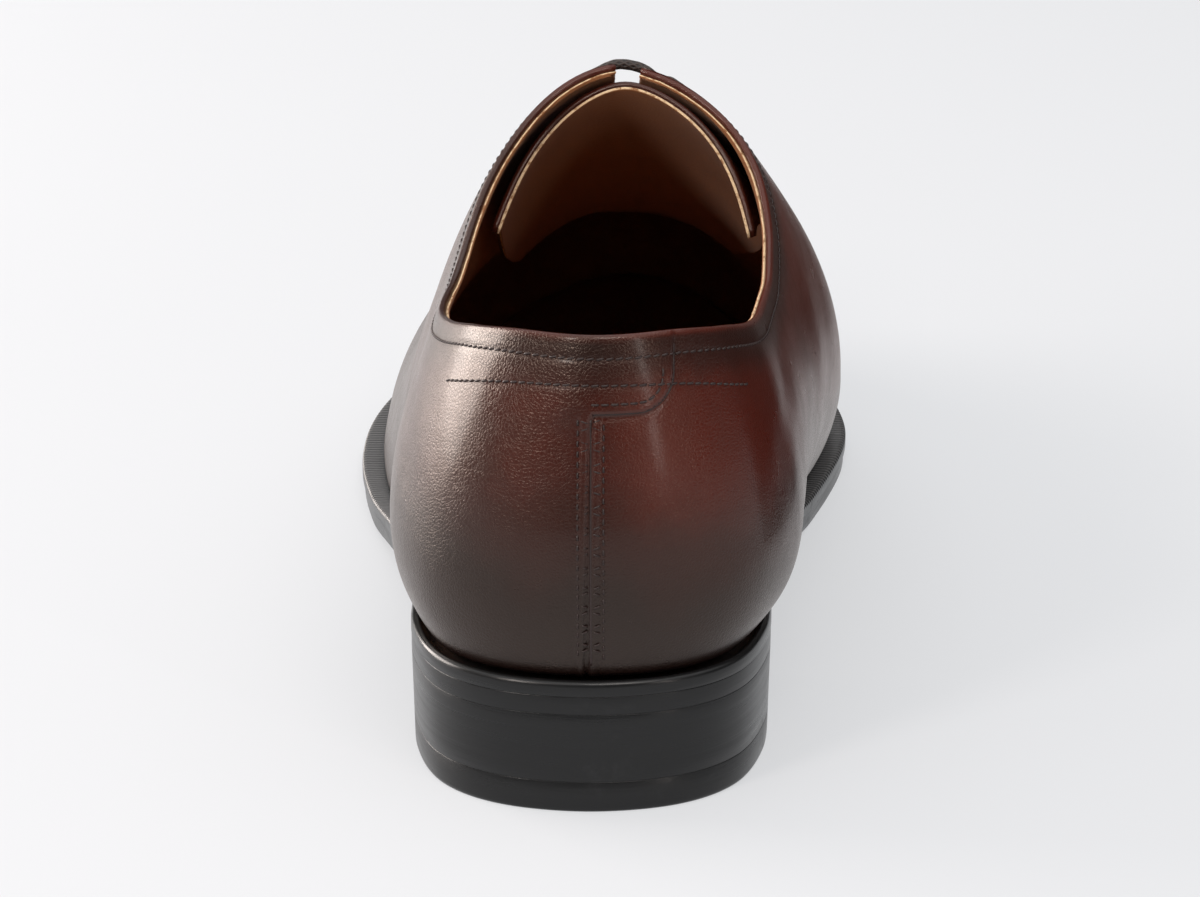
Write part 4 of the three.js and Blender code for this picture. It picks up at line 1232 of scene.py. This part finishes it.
def build_welt():
    """The welt: a rounded strip all the way round, its top wheeled with ribs along the forepart."""
    s = ring_stations(RIB_COLUMN)
    edge = handle(s, EDGE)
    travelled = travelled_along(edge)
    wheel = 0.5 - 0.5 * np.cos(2 * np.pi * travelled / RIB_PITCH)
    ribbed = ease(RIB_START, RIB_START + 14 * MM, edge[:, 1])
    breadth = np.linalg.norm(handle(s, EDGE) - handle(s, FOOT), axis=1)
    sunk = 1.1 * MM * (1 - ribbed)
    profile = []
    for inset, drop, rib in [
        (0 * MM, WELT_THICKNESS + SEAM_FILL - 0.05 * MM, 0),
        (0 * MM, 1.5 * MM, 0.0),
        (0 * MM, 0.9 * MM, 0.35),
        (0.15 * MM, 0.45 * MM, 0.7),
        (0.5 * MM, 0.12 * MM, 1),
        (1.1 * MM, 0 * MM, 1),
    ]:
        profile.append((np.full(len(s), inset), drop + rib * RIB_DEPTH * wheel * ribbed))
    for share, rib, sink in [(0.55, 1, 0.5), (0.8, 0.8, 0.9), (1.0, 0.2, 1.0)]:
        inset = 1.1 * MM + share * np.maximum(breadth - 1.1 * MM, 0.5 * MM)
        profile.append((inset, sink * sunk + rib * RIB_DEPTH * wheel * ribbed))
    profile.append((np.full(len(s), WELT_BREADTH), sunk))
    underside = np.full(len(s), WELT_THICKNESS + SEAM_FILL)
    profile.append((np.full(len(s), WELT_BREADTH), underside))
    profile.append((np.full(len(s), 0.05 * MM), underside))
    rings = []
    flush = HEEL_FLUSH * (1 - ribbed)
    for inset, drop in profile:
        points = sole_edge(s, inset + flush)
        points[:, 2] = seat(points[:, 1]) - CLEARANCE - drop
        rings.append(points)
    faces = grid_faces(len(rings) + 1, len(s), closed=True) % (len(rings) * len(s))
    piece = mesh_piece("welt_ribbed", np.vstack(rings), faces, [SOLE_BLACK])
    # Lighter grey on the tops of the welt's ribs.
    rib_tops = np.outer([0, 0, 0.25, 0.8, 1, 1, 1, 0.7, 0, 0, 0, 0], (1 - wheel) ** 2 * ribbed)
    keep_values(piece, "crest", rib_tops.ravel())
    weld(piece, WELD)
    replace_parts(piece, "welt")


def plate(name, rings, material_used, node):
    """A closed plate of stacked outlines, each alike on both sides, capped across from side to side."""
    count = len(rings[0])
    faces = [tuple(f) for f in grid_faces(len(rings), count, closed=True)]
    for start, flip in ((0, False), ((len(rings) - 1) * count, True)):
        for i in range(count // 2):
            corners = [start + i, start + i + 1, start + (count - i - 1) % count, start + (count - i) % count]
            corners = list(dict.fromkeys(corners))
            if len(corners) > 2:
                faces.append(tuple(corners[::-1] if flip else corners))
    piece = mesh_piece(name, np.vstack(rings), faces, [material_used])
    weld(piece, WELD)
    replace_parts(piece, node)


def build_outsole():
    """The outsole: a waxed, slightly rounded edge, and a stitch channel round its underside."""
    s = ring_stations(1.2 * MM)
    rings = []
    for inset, share in [
        (8.0, 0.0),
        (6.6, 0.0),
        (6.3, 0.13),
        (5.9, 0.13),
        (5.6, 0.0),
        (0.04, 0.0),
        (0.0, 0.03),
        (0.0, 0.5),
        (0.0, 0.96),
        (0.04, 1.0),
        (8.0, 1.0),
    ]:
        points = sole_edge(s, WELT_STEP + inset * MM)
        points[:, 2] = seat(points[:, 1]) - SOLE + share * OUTSOLE_THICKNESS
        rings.append(points)
    plate("outsole_edge_trimmed", rings, SOLE_BLACK, "outsole")


SOCK_PROFILE = [(0.0, 0.0), (0.0, 1.3), (0.25, 1.9), (0.9, 2.2), (6.0, 2.15), (14.0, 2.0)]  # mm in, mm up


def build_insole():
    """The insole under a tan sock that is a little domed."""
    s = ring_stations(2.0 * MM)
    foot = handle(s, FOOT)
    rings = []
    for inset, height in SOCK_PROFILE:
        points = foot - outward(s) * (WALL + 2 * CLEARANCE + inset * MM)
        points[:, 2] = seat(points[:, 1]) + height * MM
        rings.append(points)
    plate("insole_sock", rings, LINING, "insole")


BREAST = float(bisect(2.0, 7.0, lambda s: handle(s, EDGE)[..., 1] < HEEL_LENGTH - HEEL_CENTRE))
LAYER_PITCH = 3.4 * MM
LAYER_GROOVE = 0.008 * MM


def heel_outline(height, inset):
    """The heel's closed outline at a height: round the back, then across the hollow breast."""
    half = np.linspace(0, BREAST, 74)
    ring = np.concatenate([half, COUNT - half[1:][::-1]])
    points = heel_loop(ring, height, inset)
    left, right = points[len(half) - 1], points[len(half)]
    share = np.linspace(0, 1, 34)[1:-1, None]
    across = left + share * (right - left)
    across[:, 1] -= BREAST_HOLLOW * 4 * (share * (1 - share))[:, 0]
    points = np.concatenate([points[: len(half)], across, points[len(half) :]])
    points[:, 1] -= np.where(points[:, 1] > left[1] - 9 * MM, inset * 0.8, 0)
    points[:, 2] = height
    return points


def heel_part(name, levels, follows_seat, material_used, node):
    """Stacked outlines of the heel, with capped ends. levels are heights and insets."""
    rings = []
    for height, inset in levels:
        points = heel_outline(height, inset)
        if follows_seat:
            top = seat(points[:, 1]) - SOLE - SEAM_LEFT
            bottom = TOP_PIECE_THICKNESS + SEAM_LEFT
            full = HEEL_HEIGHT - SOLE - SEAM_LEFT
            share = (height - bottom) / (full - bottom)
            points[:, 2] = bottom + share * (top - bottom)
        rings.append(points)
    count = len(rings[0])
    faces = [tuple(f) for f in grid_faces(len(rings), count, closed=True)]
    middles = [rings[0].mean(0), rings[-1].mean(0)]
    vertices = np.vstack([*rings, middles])
    first, last = len(vertices) - 2, len(vertices) - 1
    base = (len(rings) - 1) * count
    for i in range(count):
        k = (i + 1) % count
        faces.append((first, i, k))
        faces.append((last, base + k, base + i))
    piece = mesh_piece(name, vertices, faces, [material_used])
    weld(piece, WELD)
    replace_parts(piece, node)


def build_heel():
    """The stack of lifts, with a fine line at each, over a rubber top piece."""
    bottom, top = TOP_PIECE_THICKNESS + SEAM_LEFT, HEEL_HEIGHT - SOLE - SEAM_LEFT
    levels = [(bottom, 0.05 * MM), (bottom + 0.08 * MM, 0)]
    joint = bottom + LAYER_PITCH
    while joint < top - 1 * MM:
        levels += [(joint - 0.12 * MM, 0), (joint, LAYER_GROOVE), (joint + 0.12 * MM, 0)]
        joint += LAYER_PITCH
    levels += [(top - 0.06 * MM, 0), (top, 0.03 * MM)]
    heel_part("heel_lifts", levels, True, SOLE_BLACK, "heel_base")
    thick = TOP_PIECE_THICKNESS
    levels = [(0, 0.7 * MM), (0.12 * MM, 0.3 * MM), (0.5 * MM, 0.05 * MM), (1 * MM, 0)]
    levels += [(thick - 0.08 * MM, 0), (thick, 0.05 * MM)]
    heel_part("heel_rubber_lift", levels, False, RUBBER, "heel_top_piece")


def build_tongue():
    """The tongue: outer leather over lining, following the inside of the facings."""
    across_count, along_count = 61, 70
    end = TONGUE_END * LENGTH - HEEL_CENTRE
    nearest = WALL + TONGUE_SPACE
    across = np.linspace(-1, 1, across_count)
    side = np.abs(across)
    top = FRONT - TONGUE_RISE - TONGUE_ARCH * side**2
    share = np.concatenate([np.linspace(0, 0.1, 12)[:-1], np.linspace(0.1, 1, along_count - 11)])
    y = top[None, :] + share[:, None] * (end - top)[None, :]
    section = crest_section(y)
    s = np.where(across[None, :] > 0, COUNT - section, section)
    girth = TONGUE_GIRTH + share[:, None] * (TONGUE_END_GIRTH - TONGUE_GIRTH)
    t = from_crest(s, side[None, :] * girth)
    base, out = skin(s, t), shell_normal(s, t)
    rounding = TONGUE_ROUNDING * np.maximum(0, 1 - side / TONGUE_ROUND_SHARE) ** 2
    base = rounded_across(base - out * (rounding + TONGUE_LEAN * side**2)[None, :, None])
    out = unit(rounded_across(out))
    layers = [base - out * nearest, base - out * (nearest + TONGUE_THICKNESS)]
    rows, columns = y.shape
    rim = tongue_rim(rows, columns)
    outward_rim = rim_directions(base, out, rim)
    vertices = [layers[0].reshape(-1, 3), layers[-1].reshape(-1, 3)]
    bulge = {0.35: 0.35, 0.8: 0.5, 1.1: 0.3, 1.2: 0.0, 1.25: 0.25, 1.7: 0.25}
    for depth, grow in bulge.items():
        place = base.reshape(-1, 3)[rim] - out.reshape(-1, 3)[rim] * (nearest + depth * MM)
        vertices.append(place + outward_rim * grow * MM)
    size = rows * columns
    faces = [tuple(f) for f in grid_faces(rows, columns)]
    slots = [0] * len(faces)
    inner = [tuple(f[::-1]) for f in grid_faces(rows, columns, start=size)]
    faces += inner
    slots += [2] * len(inner)
    loops = [np.array(rim)] + [2 * size + k * len(rim) + np.arange(len(rim)) for k in range(len(bulge))]
    loops.append(np.array(rim) + size)
    loop_slots = [0, 0, 0, 0, 1, 1, 2]
    for k in range(len(loops) - 1):
        for i in range(len(rim)):
            m = (i + 1) % len(rim)
            faces.append((loops[k][i], loops[k + 1][i], loops[k + 1][m], loops[k][m]))
            slots.append(loop_slots[k])
    piece = mesh_piece("tongue_leather", np.vstack(vertices), faces, [CALF, RAW_EDGE, LINING], slots)
    keep_values(piece, "burnish_and_shade", np.full(len(piece.data.vertices), TONGUE_BURNISH))
    weld(piece, WELD)
    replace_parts(piece, "tongue")


def rounded_across(values, rounds=14):
    """A grid of points or directions with its middle ridge eased away, its side columns kept."""
    for _ in range(rounds):
        inner = (values[:, :-2] + 2 * values[:, 1:-1] + values[:, 2:]) / 4
        values = np.concatenate([values[:, :1], inner, values[:, -1:]], 1)
    return values


def tongue_rim(rows, columns):
    """The grid's border, once round."""
    top = list(range(columns))
    right = [i * columns + columns - 1 for i in range(1, rows)]
    bottom = [(rows - 1) * columns + j for j in range(columns - 2, -1, -1)]
    left = [i * columns for i in range(rows - 2, 0, -1)]
    return top + right + bottom + left


def rim_directions(base, out, rim):
    points, normals = base.reshape(-1, 3)[rim], out.reshape(-1, 3)[rim]
    tangent = unit(np.roll(points, -1, 0) - np.roll(points, 1, 0))
    side = unit(np.cross(tangent, normals))
    middle = points.mean(0)
    return side * np.sign(np.sum(side * (points - middle), -1))[:, None]


build_welt()
build_outsole()
build_insole()
build_heel()
build_tongue()


def stitch(start, end, out, sink, radius=THREAD_RADIUS):
    """One stitch: a short arched thread that dives in at both ends."""
    share = np.array([0, 0.12, 0.32, 0.68, 0.88, 1.0])[:, None]
    rise = np.array([-0.9, 0.1, 0.75, 0.75, 0.1, -0.9])[:, None]
    line = start + share * (end - start) + out * (rise * radius - sink)
    vertices, faces, _ = tube(line, radius, 6)
    return vertices, faces


def stitches_along(line, normals, pitch, fill=0.74, lean=0.0, sink=0.0, offset=0.0, radius=THREAD_RADIUS):
    """Stitches along a line on the leather. lean turns each across the line, as a share of its length."""
    travelled = travelled_along(line)
    count = int(travelled[-1] / pitch)
    parts = []
    for k in range(count):
        ends = [(k + offset) * pitch, (k + offset + fill) * pitch]
        if ends[1] > travelled[-1]:
            break
        a, b = (np.array([np.interp(e, travelled, line[:, c]) for c in range(3)]) for e in ends)
        out = np.array([np.interp(sum(ends) / 2, travelled, normals[:, c]) for c in range(3)])
        out = out / np.linalg.norm(out)
        across = np.cross(out, b - a) * lean
        parts.append(stitch(a - across, b + across, out, sink, radius))
    return parts


def stitched(name, parts):
    vertices, faces = joined(parts)
    return mesh_piece(name, vertices, faces, [THREAD_AND_TAB_SHADOW])


def row_below_rim(distance, columns):
    """A line on the leather at a distance below the rim, along columns in order."""
    along = SHELL.length[columns] - distance
    t = np.array([np.interp(d, SHELL.travelled[c], SHELL.steps[c]) for d, c in zip(along, columns)])
    s = SHELL.stations[columns]
    return on_leather(skin(s, t), normal(s, t))


def on_leather(points, normals):
    """The same places on the finished surface, found along the normals."""
    places = []
    for point, out in zip(points, normals):
        hit = UPPER_TREE.ray_cast(Vector(point + out * 3 * MM), Vector(-out), 8 * MM)[0]
        places.append(np.array(hit) if hit else point)
    return np.array(places), normals


def from_behind(x, z):
    """A place on the back of the upper, seen along +Y."""
    hit, out, _, _ = UPPER_TREE.ray_cast(Vector((x, -0.08, z)), Vector((0, 1, 0)), 0.12)
    return np.array(hit), np.array(out) * (-1 if out.y > 0 else 1)


def line_from_behind(places):
    found = [from_behind(x, z) for x, z in places]
    return np.array([p for p, _ in found]), np.array([n for _, n in found])


def edge_rows():
    """The row along the collar and facings, and the second row across the back."""
    columns = open_columns(SHELL)[BARE_COLUMNS:-BARE_COLUMNS]
    line, outs = row_below_rim(EDGE_ROW, columns)
    line, outs = eased_line(line), eased_line(outs)
    stitched("collar_stitches", stitches_along(line, outs, STITCH_PITCH, lean=0.10))
    back_x = skin(0.0, SHELL.ends[0])[0]
    tops = skin(SHELL.stations, SHELL.ends)
    near = [c for c in columns if tops[c, 1] < -8 * MM and abs(tops[c, 0] - back_x) < SECOND_ROW_REACH]
    across = (tops[near, 0] - back_x) / SECOND_ROW_REACH
    line, outs = row_below_rim(SECOND_ROW + SECOND_ROW_DROP * across**2, np.array(near))
    stitched("counter_stitches", stitches_along(line, outs, STITCH_PITCH, lean=0.06))


def eased_line(line, rounds=4):
    """A line with its small steps smoothed away, its ends kept."""
    for _ in range(rounds):
        line = np.vstack([line[:1], (line[:-2] + 2 * line[1:-1] + line[2:]) / 4, line[-1:]])
    return line


def fine_line(line, outs, radius):
    """A thin dark line half sunk in the leather: painted shadow beside the heel tab's edge, and the dark line
    of the closed back seam.
    """
    vertices, faces, _ = tube(respaced(line - 0.35 * radius * outs, 0.8 * MM), radius, 6)
    return vertices, faces


def tab_row():
    """The row inside the heel tab's edge, the bar across the seam where the tab starts, and a dark line along
    the tab's edge that is painted shadow.
    """
    back_x = skin(0.0, 0.8)[0]
    inside = TAB_ROW_INSIDE
    bottom = HEEL_HEIGHT + COLLAR_HEIGHT - TAB_DEPTH + TAB_SLOPE + inside
    radius = TAB_CORNER - inside
    right = back_x + TAB_WIDTH - inside
    turn = np.linspace(-np.pi / 2, 0, 14)
    low = [(x, bottom) for x in np.linspace(back_x - 0.5 * MM, right - radius, 10)]
    corner = [(right - radius + radius * math.cos(a), bottom + radius + radius * math.sin(a)) for a in turn]
    side = [(right, z) for z in np.linspace(bottom + radius, HEEL_HEIGHT + COLLAR_HEIGHT - 5 * MM, 12)[1:]]
    line, outs = line_from_behind(low + corner[1:] + side)
    parts = stitches_along(line, outs, STITCH_PITCH)
    low_edge = [(x, bottom - inside) for x in np.linspace(back_x - 0.3 * MM, right - radius, 12)]
    round_edge = [
        (right - radius + TAB_CORNER * math.cos(a), bottom - inside + TAB_CORNER + TAB_CORNER * math.sin(a))
        for a in turn
    ]
    top_edge = HEEL_HEIGHT + COLLAR_HEIGHT - 3.2 * MM
    side_edge = [(right + inside, z) for z in np.linspace(bottom - inside + TAB_CORNER, top_edge, 14)[1:]]
    # Painted shadow: a dark thread-coloured line along the tab's edge.
    parts.append(fine_line(*line_from_behind(low_edge + round_edge[1:] + side_edge), SEAM_LINE_RADIUS))
    start = bottom - inside - 0.6 * MM
    for k in range(5):
        z = start - TACK_STEP * k
        bar, bar_outs = line_from_behind([(x, z) for x in (back_x - TACK_HALF, back_x, back_x + TACK_HALF)])
        parts += stitches_along(bar, bar_outs, 5.4 * MM, fill=0.96)
    stitched("heel_tab_stitches_and_edge_shadow", parts)


def back_seam():
    """Two rows of small stitches beside the back seam, and short ones across it."""
    back_x = skin(0.0, 0.5)[0]
    top = HEEL_HEIGHT + COLLAR_HEIGHT - TAB_DEPTH
    heights = np.linspace(top, HEEL_HEIGHT + 2.5 * MM, 60)
    parts = []
    for side in (-1, 1):
        line, outs = line_from_behind([(back_x + side * SEAM_ROW, z) for z in heights])
        parts += stitches_along(line, outs, SEAM_PITCH, fill=0.5, offset=0.25 * (side + 1), radius=0.2 * MM)
    for k, z in enumerate(np.arange(top, HEEL_HEIGHT + 4 * MM, -SEAM_PITCH)):
        for side in (-1, 1):
            slant = 0.5 * MM * (1 if k % 2 else -1)
            places = [(back_x + side * 0.5 * MM, z + slant), (back_x + side * 1.9 * MM, z)]
            line, outs = line_from_behind(places)
            parts += stitches_along(line, outs, 1.45 * MM, fill=0.9, sink=0.04 * MM, radius=0.18 * MM)
    parts.append(fine_line(*line_from_behind([(back_x, z) for z in heights]), SEAM_LINE_RADIUS))
    stitched("back_seam_stitches", parts)


edge_rows()
tab_row()
back_seam()


# The studio: how bright it is near the horizon and overhead, and where it brightens between them
HORIZON_LIGHT = 0.05
OVERHEAD_LIGHT = 1.45
OVERHEAD_FROM = 0.3
OVERHEAD_TO = 0.9
FLOOR_HALF_WIDTH = 9.0
# The floor's own glow: painted light that lifts the shadows on it.
FLOOR_GLOW = 0.51
LIGHT_COLOUR = (1.0, 0.91, 0.85)
SOFTBOXES = [  # name, place, aim, width and height, power
    ("left_side_softbox", (-0.98, 0.5, 0.3), (0, 0.06, 0.06), (0.9, 0.5), 19.0),
    ("left_back_softbox", (-0.66, -0.74, 0.62), (0, 0.0, 0.08), (0.22, 0.35), 5.2),
    ("right_back_softbox", (0.66, -0.74, 0.3), (0, 0.0, 0.06), (0.07, 0.5), 1.1),
    ("high_back_softbox", (0.22, -0.7, 0.95), (0, 0.0, 0.1), (0.5, 0.3), 3.9),
]
# Dark cards that gloss alone meets: one beside the shoe's inner side, one low on the floor behind it
FLAGS = [  # name, near corner, far corner
    ("side_flag", (0.078, 0.0, 0.03), (0.078, 0.34, 0.17)),
    ("floor_flag", (-0.5, -1.3, 0.004), (0.5, -0.27, 0.004)),
]


def studio_world():
    """Light from all round, dim near the horizon and bright overhead, shown without a film look."""
    world = bpy.data.worlds.new("studio")
    world.use_nodes = True
    n = Nodes(world.node_tree)
    split = n.node("ShaderNodeSeparateXYZ")
    n.link(n.node("ShaderNodeTexCoord").outputs["Generated"], split.inputs[0])
    overhead = n.ramp(split.outputs["Z"], OVERHEAD_FROM, OVERHEAD_TO)
    strength = n.math("ADD", HORIZON_LIGHT, n.math("MULTIPLY", overhead, OVERHEAD_LIGHT - HORIZON_LIGHT))
    background = world.node_tree.nodes["Background"]
    background.inputs["Color"].default_value = (0.985, 0.99, 1.0, 1)
    n.link(strength, background.inputs["Strength"])
    bpy.context.scene.world = world
    bpy.context.scene.view_settings.view_transform = "Standard"


def stage_sheet(name, corners, paint):
    """A flat sheet of the studio."""
    mesh = bpy.data.meshes.new(name)
    mesh.from_pydata(corners, [], [(0, 1, 2, 3)])
    mesh.materials.append(paint)
    sheet = bpy.data.objects.new(name, mesh)
    bpy.context.scene.collection.objects.link(sheet)
    return sheet


def studio_floor():
    """A pale floor that glows: painted light, so that shadows on it stay light."""
    paint, n, shader = material("pale_glowing_floor")
    wide = n.noise(n.place(), 3.0, 2.0, 0.5)
    n.link(n.mix(wide, (0.232, 0.236, 0.245, 1), (0.240, 0.244, 0.253, 1)), shader.inputs["Base Color"])
    # The glow is painted light: no lamp lies under the floor.
    shader.inputs["Emission Color"].default_value = (0.965, 0.98, 1.0, 1)
    shader.inputs["Emission Strength"].default_value = FLOOR_GLOW
    shader.inputs["Roughness"].default_value = 0.85
    shader.inputs["Specular IOR Level"].default_value = 0.2
    far = FLOOR_HALF_WIDTH
    stage_sheet("studio_floor", [(-far, -far, 0), (far, -far, 0), (far, far, 0), (-far, far, 0)], paint)


def reflection_flags():
    """The dark cards: only reflections meet them, so they hide nothing and throw no shadow."""
    paint, _, shader = material("black_card")
    shader.inputs["Base Color"].default_value = (0.012, 0.009, 0.008, 1)
    shader.inputs["Roughness"].default_value = 0.6
    for name, near, far in FLAGS:
        lies_flat = near[2] == far[2]
        second = (near[0], far[1], near[2]) if lies_flat else (near[0], near[1], far[2])
        fourth = (far[0], near[1], far[2]) if lies_flat else (far[0], far[1], near[2])
        flag = stage_sheet(name, [near, second, far, fourth], paint)
        flag.visible_camera = False
        flag.visible_diffuse = False
        flag.visible_shadow = False
        flag.visible_transmission = False


def softboxes():
    """The studio's soft lights, out of the camera's sight."""
    for name, place, aim, size, power in SOFTBOXES:
        light = bpy.data.lights.new(name, "AREA")
        light.shape = "RECTANGLE"
        light.size, light.size_y = size
        light.energy = power
        light.color = LIGHT_COLOUR
        lamp = bpy.data.objects.new(name, light)
        lamp.location = place
        lamp.rotation_mode = "QUATERNION"
        lamp.visible_camera = False
        lamp.rotation_quaternion = (Vector(aim) - Vector(place)).to_track_quat("-Z", "Y")
        bpy.context.scene.collection.objects.link(lamp)


studio_floor()
studio_world()
softboxes()
reflection_flags()
